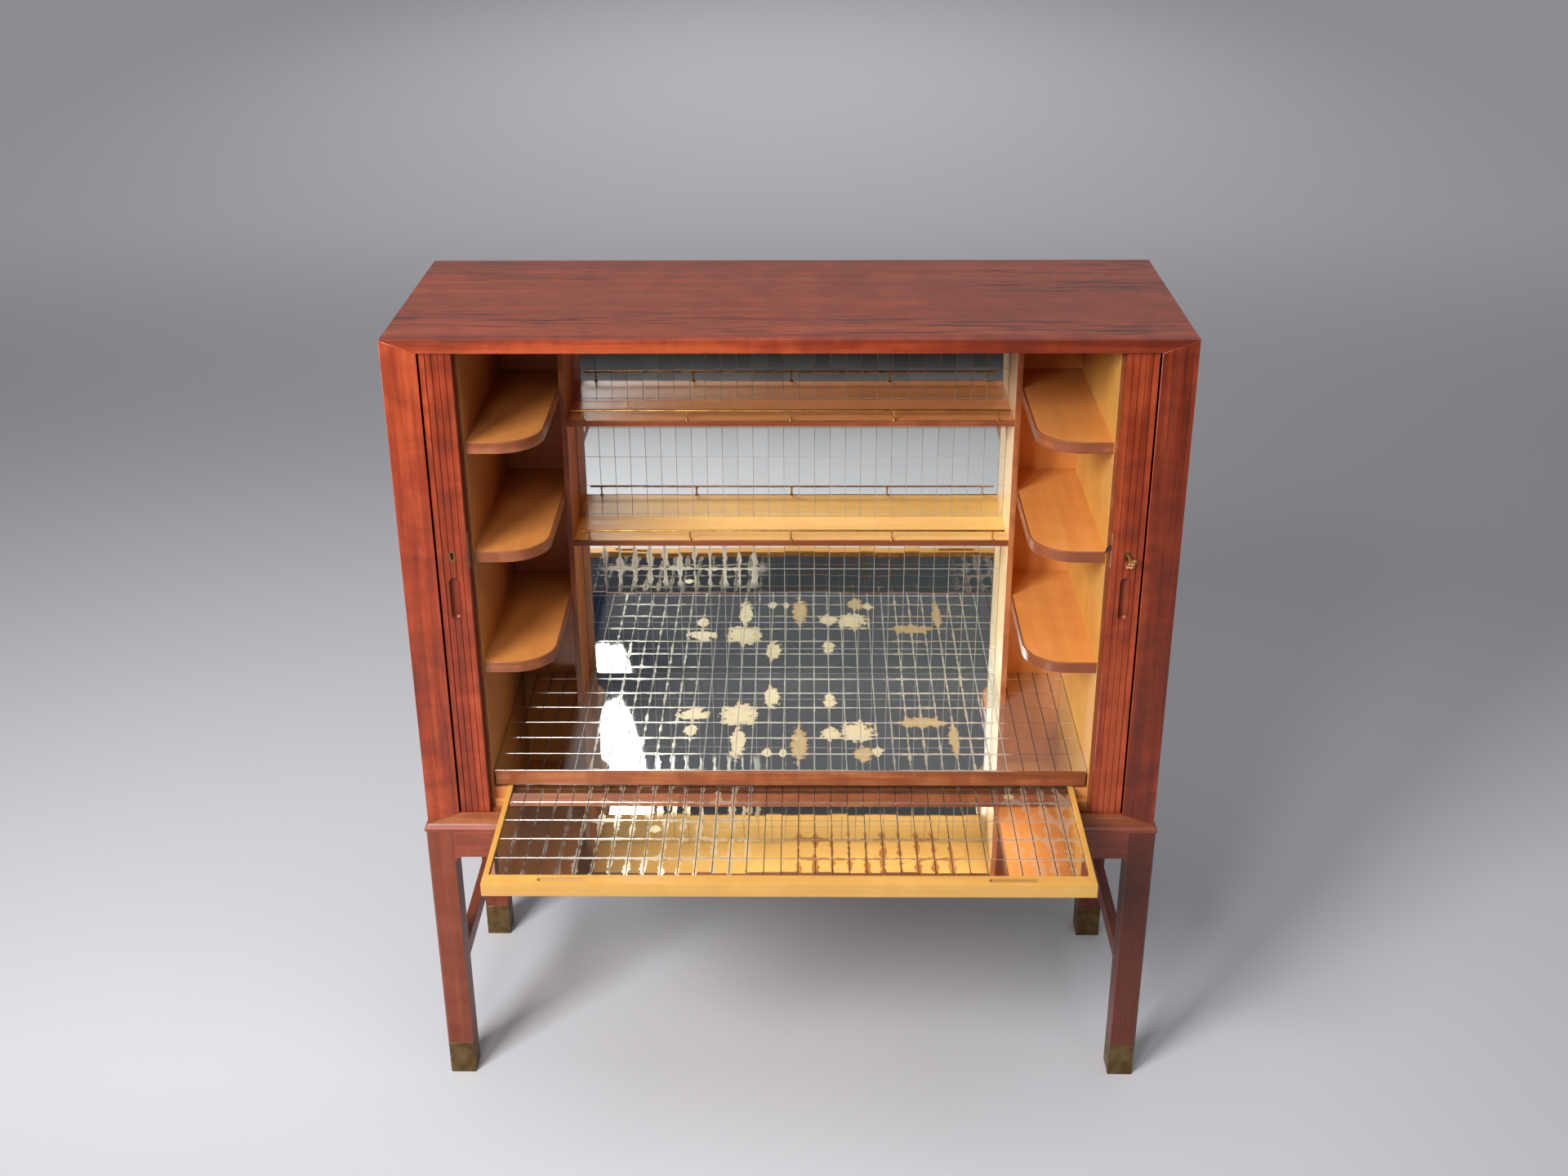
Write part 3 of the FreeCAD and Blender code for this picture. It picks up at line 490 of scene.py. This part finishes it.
# Ground edges of the tiles: polish, roughness, tone, and polish and darkening outside the dividers
TILE_EDGES = {
    "row_edge": (0.35, 0.04, 1.0, 1.0, 0.0),
    "column_edge": (0.4, 0.3, 1.0, 0.4, 0.85),
    "tray_row_edge": (0.85, 0.05, 1.0, 0.85, 0.0),
    "tray_column_edge": (0.95, 0.2, 0.8, 0.95, 0.0),
    "tile_corner": (0.2, 0.5, 0.3, 0.2, 0.0),
}


def mirror(silver, films, first, pitch, spills=(), tans=(), dust=(0.0, 0.0), wear=0.0, plane=(0, 1), tip=None):
    """Fills a finish with silvered tiles: each a shade of its own, with dust, spills and films along the joints."""
    c = bpy.context.scene.cabinet_colours
    silver, cream, tan, grey = linear(silver), linear(c.spill), linear(c.tan), linear(c.dust)
    thick, dusty = dust

    def fill(f):
        place = f.place()
        tile = f.own("tile")
        x, y = (f.part(place, axis) for axis in plane)
        beside, behind = (((v - v0) / p).fold(0.5) for v, v0, p in zip((x, y), first, pitch))
        ragged = f.noise(place, 85, 4, 0.65)
        patchy = f.noise(place, 26, 3, 0.6)
        grit = f.noise(place, 480, 4, 0.75)
        waves = f.noise(place, 9, 1)
        near = beside.step(0.2, 0.0) | behind.step(0.1, 0.0)
        soft = grit.step(0.25, 0.6) * 0.25

        def reach(spots):
            nearest = None
            for sx, sy, wide, deep in spots:
                span = f.span(place, (sx, sy, 0), (1 / wide, 1 / deep, 0))
                nearest = span if nearest is None else nearest & span
            return nearest + (ragged - 0.5) * 2.0 - near * 0.3

        def within(v, low, high, fade):
            return v.step(low, low + fade) * v.step(high, high - fade)

        shade = f.mix(tile, scaled(silver, 0.965), silver)
        haze = (grit.step(0.42, 0.75) * thick + thick * 0.35) * x.step(dusty - 0.01, dusty + 0.01)
        shade = f.mix(haze, shade, grey)
        dirty = 0.0
        for x0, x1, y0, y1, creep, tone, share, dull in films:
            ground = within(x, x0, x1, FILM_FADE[0]) * within(y, y0, y1, FILM_FADE[1])
            width = (patchy.step(0.42, 0.7) * 0.8 + ragged.step(0.4, 0.7) * 0.5) * creep + creep * 0.14
            film = beside.step(width, width * 0.7) | behind.step(width * 0.5 + wear, width * 0.35 + wear * 0.75)
            film = film * ground * share * (soft + 0.75)
            shade = f.mix(film, shade, linear(getattr(c, tone)))
            dirty = film * dull | dirty
        for spots, inner, rim in ((spills, cream, tan), (tans, tan, linear(c.rust))):
            if not spots:
                continue
            span = reach(spots)
            spot = span.step(1.0, 0.88) * (soft + 0.72)
            stain = f.mix(span.step(0.5, 0.95) * 0.5 + ragged.step(0.55, 0.7) * 0.4, inner, rim)
            shade = f.mix(spot, shade, stain)
            dirty = dirty | spot
        if tip:
            start, slope = tip
            waves = waves + (y | start) * slope
        f.surface(base_color=shade, metallic=1.0 - (dirty | haze) * 0.96,
                  roughness=0.012 + tile * 0.012 + dirty * 0.42, normal=f.bump(waves, 0.03, 0.002))
    return fill


def tile_edge(name):
    """A ground edge of the tiles, with a polish of its own and a darkening outside the dividers."""
    c = bpy.context.scene.cabinet_colours
    polish, roughness, tone, side_polish, side_darkening = TILE_EDGES[name]
    ground = linear([v * tone for v in c.tile_edge])
    worn = linear([v * tone * 0.86 for v in c.tile_edge])

    def fill(f):
        place = f.place()
        grit = f.noise(place, 700, 3, 0.6)
        aside = abs(f.part(place, 0)).step(*DIVIDER)
        # Outside the dividers the edge is darkened towards the dark mahogany colour, by the share in the table
        shade = f.mix(aside * side_darkening, f.mix(grit, worn, ground), linear(c.mahogany_dark))
        f.surface(base_color=shade, metallic=polish + aside * (side_polish - polish),
                  roughness=roughness + grit * 0.08)
    return material(name, fill)


# Modelling helpers

def finished(name, bm, materials, body, nodes):
    """Writes a bmesh to an object at the origin that rides on a body and stands for CAD nodes."""
    mesh = bpy.data.meshes.new(name)
    bm.to_mesh(mesh)
    bm.free()
    for m in materials:
        mesh.materials.append(m)
    piece = bpy.data.objects.new(name, mesh)
    bpy.context.scene.collection.objects.link(piece)
    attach(piece, body)
    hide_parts(*nodes)
    return piece


def islands(bm):
    """Groups of faces that hang together, one for each solid."""
    left = set(bm.faces)
    for start in bm.faces:
        if start not in left:
            continue
        left.discard(start)
        group, stack = [], [start]
        while stack:
            face = stack.pop()
            group.append(face)
            for edge in face.edges:
                for other in edge.link_faces:
                    if other in left:
                        left.discard(other)
                        stack.append(other)
        yield group


def is_arris(edge):
    """Whether an edge is an outer square corner that a maker would soften."""
    if len(edge.link_faces) != 2 or not edge.is_convex or edge.calc_length() < SHORTEST_ARRIS:
        return False
    if not SQUARE[0] < edge.calc_face_angle(0.0) < SQUARE[1]:
        return False
    return not all(abs(v.co.y - FRAME_SEAM) < FLUSH for v in edge.verts)


def softened(node, woods, width, axis=None, body="cabinet", front=None, shade=None, scooped=None):
    """A copy of a CAD node with its arrises eased, the grain along each solid's length and a shade for each solid.

    What looks forwards takes the front material, if there is one. Scooped says which way hollows face and how
    dark the shade painted in them is.
    """
    bm = bmesh.new()
    bm.from_mesh(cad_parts[node].data)
    bmesh.ops.remove_doubles(bm, verts=bm.verts, dist=WELD)
    bmesh.ops.dissolve_limit(bm, angle_limit=FLAT_BELOW, verts=bm.verts, edges=bm.edges)
    arris = bm.faces.layers.float.new("arris")
    piece = bm.faces.layers.float.new("piece")
    if width:
        edges = [e for e in bm.edges if is_arris(e)]
        eased = bmesh.ops.bevel(bm, geom=edges, offset=width, affect="EDGES", segments=2, profile=0.5, material=-1,
                                clamp_overlap=True)
        for face in eased["faces"]:
            face[arris] = 1.0
    for face in bm.faces:
        face.smooth = True
    for edge in bm.edges:
        marks = {face[arris] for face in edge.link_faces}
        edge.smooth = marks == {1.0} or (len(marks) == 1 and edge.calc_face_angle(math.pi) < WOOD_ROUND_BELOW)
    if scooped:
        # Painted shade in the scoops: faces that look the scoop's way and lie below its rim
        hollow = bm.faces.layers.float.new("hollow")
        way, depth = Vector(scooped[0]), scooped[1]
        rim = max(v.co.dot(way) for v in bm.verts) - SCOOP_MARK
        for face in bm.faces:
            face[hollow] = depth * (face.normal.dot(way) > 0.1 and face.calc_center_median().dot(way) < rim)
    dice = random.Random(node)
    for group in islands(bm):
        tone = dice.uniform(0.5, 1.0) if shade is None else shade
        corners = [v.co for face in group for v in face.verts]
        spans = [max(c[i] for c in corners) - min(c[i] for c in corners) for i in range(3)]
        run = AXES.index(axis) if axis else spans.index(max(spans))
        for face in group:
            face[piece] = tone
            face.material_index = len(AXES) if front and face.normal.y < FORWARDS else run
    materials = [woods[a] for a in AXES] + ([front] if front else [])
    return finished(f"{node}_wood", bm, materials, body, (node,))


def paint(nodes, finish):
    """Puts a material on CAD nodes whose shape stays."""
    for node in nodes:
        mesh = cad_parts[node].data
        mesh.materials.clear()
        mesh.materials.append(finish)


def cuts(low, high, first, pitch, joint):
    """Spans between joints from low to high, one joint being at first; no sliver is cut at the ends."""
    sliver = pitch * 0.12
    marks = [low - joint / 2]
    mark = first - math.floor((first - low) / pitch) * pitch
    while mark < high:
        if mark - low > sliver and high - mark > sliver:
            marks.append(mark)
        mark += pitch
    marks.append(high + joint / 2)
    return [(a + joint / 2, b - joint / 2) for a, b in zip(marks, marks[1:])]


def tile_side(normal):
    """Which of a tile's materials a face takes: silvering, row edge, side edge or corner."""
    level, mostly = 0.99, 4
    along, ahead = abs(normal.x), abs(normal.y)
    if normal.z > level:
        return 0
    if ahead > mostly * along:
        return 1
    return 2 if along > mostly * ahead else 3


# The ground below the tiles: how close its waves are, and how far apart they are read for the two leans
WAVE_SCALE, WAVE_STEP = 2.6, 7.3


def lay_tiles(name, node, stand, columns, rows, bevel, silvering, edges, body, seed):
    """Mirror tiles over a CAD node: stand turns a tile that faces up to face as the node does."""
    sizes = bpy.context.scene.cabinet_sizes
    dice = random.Random(seed)
    low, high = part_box(node)
    thick = abs((stand.to_3x3().inverted() @ (high - low)).z)
    flat = thick / sizes.edge_drop
    bm = bmesh.new()
    scratch = bpy.data.meshes.new("tile")
    for row in rows:
        for column in columns:
            tile = bmesh.new()
            mark = tile.faces.layers.float.new("tile")
            bmesh.ops.create_cube(tile, size=1.0)
            bmesh.ops.scale(tile, vec=(column[1] - column[0], row[1] - row[0], flat), verts=tile.verts)
            bmesh.ops.translate(tile, vec=(0, 0, -flat / 2), verts=tile.verts)
            front = [e for e in tile.edges if all(v.co.z > -WELD for v in e.verts)]
            ground = set(bmesh.ops.bevel(tile, geom=front, offset=bevel, affect="EDGES", segments=2, profile=0.5,
                                         material=-1)["faces"])
            bmesh.ops.scale(tile, vec=(1, 1, sizes.edge_drop), verts=tile.verts)
            bmesh.ops.recalc_face_normals(tile, faces=tile.faces)
            shade = dice.random()
            for face in tile.faces:
                face[mark] = shade
                face.smooth = face in ground
                face.material_index = tile_side(face.normal)
            for edge in tile.edges:
                one_side = len({face.material_index for face in edge.link_faces}) == 1
                edge.smooth = one_side and all(face in ground for face in edge.link_faces)
            middle = Vector(((column[0] + column[1]) / 2, (row[0] + row[1]) / 2, 0))
            spots = [middle * WAVE_SCALE + Vector((0, 0, seed + WAVE_STEP * i)) for i in (0, 1)]
            wave = [noise.noise(spot) * sizes.tile_wave for spot in spots]
            lean = Euler([w + dice.uniform(-1, 1) * sizes.tile_tilt for w in wave] + [0]).to_matrix().to_4x4()
            bmesh.ops.transform(tile, matrix=stand @ Matrix.Translation(middle) @ lean, verts=tile.verts)
            tile.to_mesh(scratch)
            tile.free()
            bm.from_mesh(scratch)
    bpy.data.meshes.remove(scratch)
    materials = [silvering] + [tile_edge(edge) for edge in edges + ("tile_corner",)]
    return finished(name, bm, materials, body, (node,))


# Pieces

class CABINET_OT_stand(bpy.types.Operator):
    """Legs, aprons, stretchers, moulding and brass shoes"""
    bl_idname = "cabinet.stand"
    bl_label = "Stand"

    def execute(self, context):
        sizes = context.scene.cabinet_sizes
        for node in ("front_left_leg", "front_right_leg", "rear_left_leg", "rear_right_leg", "side_stretchers"):
            softened(node, grains("stand_mahogany"), sizes.arris, shade=LEG_SHADES.get(node))
        for node in ("front_apron", "rear_apron", "side_aprons", "stand_moulding"):
            softened(node, grains("stand_mahogany"), sizes.arris, shade=APRON_SHADE)
        shoes = softened("leg_shoes", dict.fromkeys(AXES, plain_metal("old_brass")), sizes.arris)
        shoes.name = "leg_shoes_brass"
        return {"FINISHED"}


class CABINET_OT_carcass(bpy.types.Operator):
    """Boards, sides, front frame and back"""
    bl_idname = "cabinet.carcass"
    bl_label = "Carcass"

    def execute(self, context):
        sizes = context.scene.cabinet_sizes
        for node, axis, shade in CARCASS:
            woods = grains({"top_board": "top_mahogany", "bottom_front_rail": "lipping"}.get(node, "mahogany"))
            softened(node, woods, sizes.arris, axis, shade=shade)
        return {"FINISHED"}


class CABINET_OT_interior(bpy.types.Operator):
    """Liners, dividers, floor and shelves"""
    bl_idname = "cabinet.interior"
    bl_label = "Interior"

    def execute(self, context):
        fine = context.scene.cabinet_sizes.fine_arris
        # The left liner's low shade is painted shade
        for node, woods, shade in (("left_liner", "honey_maple", 0.3), ("right_liner", "tray_maple", 1.0)):
            softened(node, grains(woods), fine, "z", front=grains("lipping")["z"], shade=shade)
        # The two dividers are one maple drawn as a shaded and a lit copy: the left one darker as painted shade, the
        # right one paler as painted light
        softened("left_divider", grains("shaded_banding"), fine, "z", shade=1.0)
        softened("right_divider", grains("cream_maple"), fine, "z", shade=0.8)
        softened("false_back", grains("honey_maple"), fine, "z")
        for node, shade in MAPLE_SHADES:
            softened(node, grains("honey_maple"), fine, shade=shade)
        softened("lower_shelf", grains("pale_maple"), fine, "x")
        for node in ("divider_lippings", "shelf_lippings", "floor_nosing"):
            softened(node, grains("lipping"), fine)
        softened("side_shelf_lippings", laid_banding(), fine)
        return {"FINISHED"}


class CABINET_OT_tray(bpy.types.Operator):
    """Frame and panel of the tray"""
    bl_idname = "cabinet.tray"
    bl_label = "Tray"

    def execute(self, context):
        fine = context.scene.cabinet_sizes.fine_arris
        softened("tray_front_rail", grains("tray_maple"), fine, body="tray", scooped=TRAY_SCOOP)
        for node in ("tray_side_rails", "tray_back_rail", "tray_panel"):
            softened(node, grains("tray_maple"), fine, body="tray")
        return {"FINISHED"}


class CABINET_OT_doors(bpy.types.Operator):
    """Lead stiles and slats of the two tambour leaves"""
    bl_idname = "cabinet.doors"
    bl_label = "Doors"

    def execute(self, context):
        fine = context.scene.cabinet_sizes.fine_arris
        for side in ("left", "right"):
            softened(f"{side}_lead_stile", grains("mahogany"), fine, "z", f"{side}_door",
                     shade=STILE_SHADES.get(side), scooped=DOOR_SCOOP)
            softened(f"{side}_front_slat", grains("mahogany"), fine, "z", f"{side}_door")
            softened(f"{side}_side_slats", grains("mahogany"), fine, "z", f"{side}_side_leaf")
            softened(f"{side}_back_slats", grains("mahogany"), fine, "z", f"{side}_back_leaf")
        return {"FINISHED"}


class CABINET_OT_mirrors(bpy.types.Operator):
    """Mirror mosaic of back, floor and tray"""
    bl_idname = "cabinet.mirrors"
    bl_label = "Mirrors"

    def execute(self, context):
        sizes, colours = context.scene.cabinet_sizes, context.scene.cabinet_colours
        wide, high_tile = sizes.tile_width, sizes.wall_tile_height
        facing = Matrix(((1, 0, 0, 0), (0, 0, -1, 0), (0, 1, 0, 0), (0, 0, 0, 1)))
        low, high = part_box("back_mirror")
        wall = mirror(colours.mirror, WALL_FILMS, (TILE_COLUMN, WALL_ROW), (wide, high_tile), plane=(0, 2))
        lay_tiles("back_mosaic", "back_mirror", Matrix.Translation((0, low.y, 0)) @ facing,
                  cuts(low.x, high.x, TILE_COLUMN, wide, sizes.wall_joint),
                  cuts(low.z, high.z, WALL_ROW, high_tile, sizes.wall_joint),
                  sizes.wall_bevel, material("wall_silver", wall), ("row_edge", "column_edge"), "cabinet",
                  sizes.tile_seed)
        floor = mirror(colours.mirror, FLOOR_FILMS, (TILE_COLUMN, FLOOR_ROW), (wide, sizes.floor_tile_depth),
                       FLOOR_SPILLS, FLOOR_TANS, FLOOR_DUST, FLOOR_WEAR, tip=FLOOR_TIP)
        tray = mirror(colours.tray_mirror, TRAY_FILMS, (TILE_COLUMN, TRAY_ROW), (wide, sizes.tray_tile_depth),
                      TRAY_SPILLS, TRAY_TANS, TRAY_DUST)
        for name, body, row, deep, silvers, edges in (
                ("floor", "cabinet", FLOOR_ROW, sizes.floor_tile_depth, floor, ("row_edge", "column_edge")),
                ("tray", "tray", TRAY_ROW, sizes.tray_tile_depth, tray, ("tray_row_edge", "tray_column_edge"))):
            low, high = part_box(f"{name}_mirror")
            lay_tiles(f"{name}_mosaic", f"{name}_mirror", Matrix.Translation((0, 0, high.z)),
                      cuts(low.x, high.x, TILE_COLUMN, wide, sizes.tile_seam),
                      cuts(low.y, high.y, row, deep, sizes.tile_joint), sizes.tile_bevel,
                      material(f"{name}_silver", silvers), edges, body, sizes.tile_seed + len(name))
        return {"FINISHED"}


class CABINET_OT_galleries(bpy.types.Operator):
    """Brass rails on small turned posts along the centre shelves"""
    bl_idname = "cabinet.galleries"
    bl_label = "Galleries"

    def execute(self, context):
        sizes = context.scene.cabinet_sizes
        r, post = sizes.rail_radius, sizes.post_radius
        for level in ("upper", "lower"):
            low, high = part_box(f"{level}_gallery")
            y, top = (low.y + high.y) / 2, high.z - r
            middle = Matrix.Translation(((low.x + high.x) / 2, y, top))
            bm = bmesh.new()
            bmesh.ops.create_cone(bm, cap_ends=True, segments=14, radius1=r, radius2=r, depth=high.x - low.x,
                                  matrix=middle @ Matrix.Rotation(math.pi / 2, 4, "Y"))
            ends = [e for e in bm.edges if len({round(v.co.x, 5) for v in e.verts}) == 1]
            bmesh.ops.bevel(bm, geom=ends, offset=r * RAIL_END, affect="EDGES", segments=3, profile=0.5, material=-1)
            for x in GALLERY_POSTS:
                line = [bm.verts.new((x + out * post, y, low.z + up * (top - low.z))) for out, up in POST_PROFILE]
                edges = [bm.edges.new(pair) for pair in zip(line, line[1:])]
                bmesh.ops.spin(bm, geom=line + edges, cent=(x, y, low.z), axis=(0, 0, 1), angle=2 * math.pi, steps=12,
                               use_merge=True)
            bmesh.ops.remove_doubles(bm, verts=bm.verts, dist=WELD)
            bmesh.ops.recalc_face_normals(bm, faces=bm.faces)
            for face in bm.faces:
                face.smooth = True
            for edge in bm.edges:
                edge.smooth = edge.calc_face_angle(0.0) < BRASS_ROUND_BELOW
            finished(f"{level}_gallery_brass", bm, [plain_metal("gallery_brass")], "cabinet",
                     (f"{level}_gallery",))
        return {"FINISHED"}


class CABINET_OT_lock(bpy.types.Operator):
    """Key, hook bolt, edge plates and keyhole plates"""
    bl_idname = "cabinet.lock"
    bl_label = "Lock"

    def execute(self, context):
        paint(("key",), plain_metal("brass"))
        paint(("left_escutcheon", "right_escutcheon"), plain_metal("plate_brass"))
        paint(("lock_case", "strike_plate"), plain_metal("nickel"))
        paint(("hook_bolt",), plain_metal("hook_steel"))
        return {"FINISHED"}


# Camera: place in metres, angles in degrees, the pitch looking down
CAMERA_PLACE = (0.0262, -2.6265, 2.051)
CAMERA_PITCH, CAMERA_YAW, CAMERA_ROLL = 25.291, -0.804, -0.295
SENSOR_WIDTH = 36.0

# Lamps: name, place, aim, width, depth, whose power, spread and roll in degrees
LAMPS = (
    ("key_softbox", (-1.9, -2.4, 2.6), (-0.5, 0, 0.9), 1.2, 1.2, "key_power", 120, 0),
    ("strip_light", (-0.755, -2.722, 2.672), (-0.369, 0.028, 0.842), 0.425, 0.955, "strip_power", 180, -10),
    ("top_softbox", (0, -0.8, 3.3), (0, -0.2, 0.8), 3.0, 2.0, "top_power", 180, 0),
    ("mirror_bounce", (0.095, -0.02, 0.6), (0.095, -0.02, 1.0), 0.68, 0.28, "bounce_power", 80, 0),
)
UNSEEN_LAMP = "mirror_bounce"

# Light values of the room, as the cabinet and the camera see it
FLOOR_RADIUS = 45.0
FRONT_FLOOR = (0.045, 0.038, 0.028, 1)
GLOW_CENTRE, GLOW_STRETCH = (-0.2, 9.5, 0), (0.2, 0.11, 0)
GLOW_RIM, GLOW = (0.25, 0.25, 0.27, 1), (0.44, 0.445, 0.47, 1)
FRONT_LEFT, FRONT_RIGHT = (0.012, 0.022, 0.055, 1), (0.066, 0.1, 0.125, 1)
ROOM_SIDES, ROOM_BACK = (0.11, 0.112, 0.118, 1), (0.34, 0.342, 0.35, 1)
BACKDROP = (0.6, 0.6, 0.62, 1)


class CABINET_OT_stage(bpy.types.Operator):
    """Studio floor, lights, world and camera"""
    bl_idname = "cabinet.stage"
    bl_label = "Stage"

    def lamp(self, name, place, aim, wide, deep, watts, spread, roll):
        """A flat lamp that looks from its place to its aim."""
        data = bpy.data.lights.new(name, "AREA")
        data.shape, data.size, data.size_y = "RECTANGLE", wide, deep
        data.energy, data.spread = watts, math.radians(spread)
        lamp = bpy.data.objects.new(name, data)
        turn = (Vector(aim) - Vector(place)).to_track_quat("-Z", "Y").to_matrix().to_4x4()
        lamp.matrix_world = Matrix.Translation(place) @ turn @ Matrix.Rotation(math.radians(roll), 4, "Z")
        bpy.context.scene.collection.objects.link(lamp)
        lamp.visible_camera = lamp.visible_glossy = name != UNSEEN_LAMP

    def floor(self, tint):
        """A round floor that glows like a backdrop far behind, and is dark in front where only the mirrors see it."""
        bm = bmesh.new()
        bmesh.ops.create_circle(bm, cap_ends=True, segments=96, radius=FLOOR_RADIUS)
        mesh = bpy.data.meshes.new("studio_floor")
        bm.to_mesh(mesh)
        bm.free()
        pale = linear(tint)

        def fill(f):
            place = f.place()
            camera = f.node("ShaderNodeLightPath", output="Is Camera Ray")
            mirrored = 1.0 - camera
            x, y = f.part(place, 0), f.part(place, 1)
            tone = f.mix(f.noise(place, 3, 3), scaled(pale, 0.985), pale)
            # Painted light and shade on the floor: paler towards the back, darker at the front left as painted shade
            # against the key's pool of light, paler ahead where the mirrors see it, and dark further ahead where the
            # mirrors see it, as painted shade of the unlit room
            tone = f.mix(y.step(-0.8, 1.0) * 0.14, tone, WHITE)
            tone = f.mix(x.step(-0.1, -0.9) * y.step(-0.1, -0.7) * 0.16, tone, BLACK)
            tone = f.mix(y.step(-0.9, -1.7) * mirrored, tone, scaled(pale, 1.25))
            tone = f.mix(y.step(-2.4, -3.6) * mirrored, tone, FRONT_FLOOR)
            far = y.step(2.0, 6.0) * camera
            glow = f.mix(f.span(place, GLOW_CENTRE, GLOW_STRETCH).step(1.0, 0.0), GLOW_RIM, GLOW)
            f.surface(base_color=f.mix(far, tone, BLACK), emission_color=f.mix(far, BLACK, glow),
                      emission_strength=1.0, roughness=0.8, specular_ior_level=0.1)
        mesh.materials.append(material("studio_floor", fill))
        floor = bpy.data.objects.new("studio_floor", mesh)
        bpy.context.scene.collection.objects.link(floor)
        floor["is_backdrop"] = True

    def world(self, scene):
        """The room: pale behind, dark in front, and plain where the camera sees it."""
        scene.world = bpy.data.worlds.new("studio")
        scene.world.use_nodes = True
        f = Finish(scene.world.node_tree)
        way = f.node("ShaderNodeTexCoord", output="Generated")
        x, y = f.part(way, 0), f.part(way, 1)
        tone = f.mix(y.step(0.0, 0.5), ROOM_SIDES, ROOM_BACK)
        tone = f.mix(y.step(-0.45, -0.7), tone, f.mix(x.step(-0.2, 0.3), FRONT_LEFT, FRONT_RIGHT))
        tone = f.mix(f.node("ShaderNodeLightPath", output="Is Camera Ray"), tone, BACKDROP)
        shade = f.node("ShaderNodeBackground", None, {"Color": tone, "Strength": 1.0})
        f.node("ShaderNodeOutputWorld", None, {"Surface": shade})

    def camera(self, scene, lens):
        """The photograph's camera."""
        pitch, yaw, roll = (math.radians(turn) for turn in (CAMERA_PITCH, CAMERA_YAW, CAMERA_ROLL))
        ahead = Vector((math.sin(yaw) * math.cos(pitch), math.cos(yaw) * math.cos(pitch), -math.sin(pitch)))
        side = Vector((math.cos(yaw), -math.sin(yaw), 0))
        up = side.cross(ahead)
        right = side * math.cos(roll) + up * math.sin(roll)
        up = up * math.cos(roll) - side * math.sin(roll)
        data = bpy.data.cameras.new("camera")
        data.lens, data.sensor_width, data.sensor_fit = lens, SENSOR_WIDTH, "HORIZONTAL"
        camera = bpy.data.objects.new("camera", data)
        camera.matrix_world = Matrix.Translation(CAMERA_PLACE) @ Matrix((right, up, -ahead)).transposed().to_4x4()
        scene.collection.objects.link(camera)
        scene.camera = camera

    def execute(self, context):
        scene = context.scene
        stage = scene.cabinet_stage
        self.camera(scene, stage.lens)
        self.floor(scene.cabinet_colours.floor)
        self.world(scene)
        for name, place, aim, wide, deep, watts, spread, roll in LAMPS:
            self.lamp(name, place, aim, wide, deep, getattr(stage, watts), spread, roll)
        scene.view_settings.view_transform = "Standard"
        return {"FINISHED"}


STEPS = (CABINET_OT_stand, CABINET_OT_carcass, CABINET_OT_interior, CABINET_OT_tray, CABINET_OT_doors,
         CABINET_OT_mirrors, CABINET_OT_galleries, CABINET_OT_lock, CABINET_OT_stage)


class CABINET_PT_panel(bpy.types.Panel):
    """Sizes, colours and steps of the cabinet"""
    bl_label = "Cabinet"
    bl_idname = "CABINET_PT_panel"
    bl_space_type = "VIEW_3D"
    bl_region_type = "UI"
    bl_category = "Cabinet"

    def draw(self, context):
        for step in STEPS:
            self.layout.operator(step.bl_idname)
        for group in (context.scene.cabinet_sizes, context.scene.cabinet_colours, context.scene.cabinet_stage):
            column = self.layout.column()
            for key in group.__annotations__:
                column.prop(group, key)


CLASSES = (CabinetSizes, CabinetColours, CabinetStage) + STEPS + (CABINET_PT_panel,)


def register():
    for entry in CLASSES:
        bpy.utils.register_class(entry)
    bpy.types.Scene.cabinet_sizes = PointerProperty(type=CabinetSizes)
    bpy.types.Scene.cabinet_colours = PointerProperty(type=CabinetColours)
    bpy.types.Scene.cabinet_stage = PointerProperty(type=CabinetStage)


def unregister():
    del bpy.types.Scene.cabinet_sizes, bpy.types.Scene.cabinet_colours, bpy.types.Scene.cabinet_stage
    for entry in reversed(CLASSES):
        bpy.utils.unregister_class(entry)


def main():
    register()
    bpy.ops.cabinet.stand()
    bpy.ops.cabinet.carcass()
    bpy.ops.cabinet.interior()
    bpy.ops.cabinet.tray()
    bpy.ops.cabinet.doors()
    bpy.ops.cabinet.mirrors()
    bpy.ops.cabinet.galleries()
    bpy.ops.cabinet.lock()
    bpy.ops.cabinet.stage()
    boxes = {"cad": CAD_BOX, "visual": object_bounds()}
    {name: [list(map(float, corner)) for corner in box] for name, box in boxes.items()}


if __name__ == "__main__":
    main()
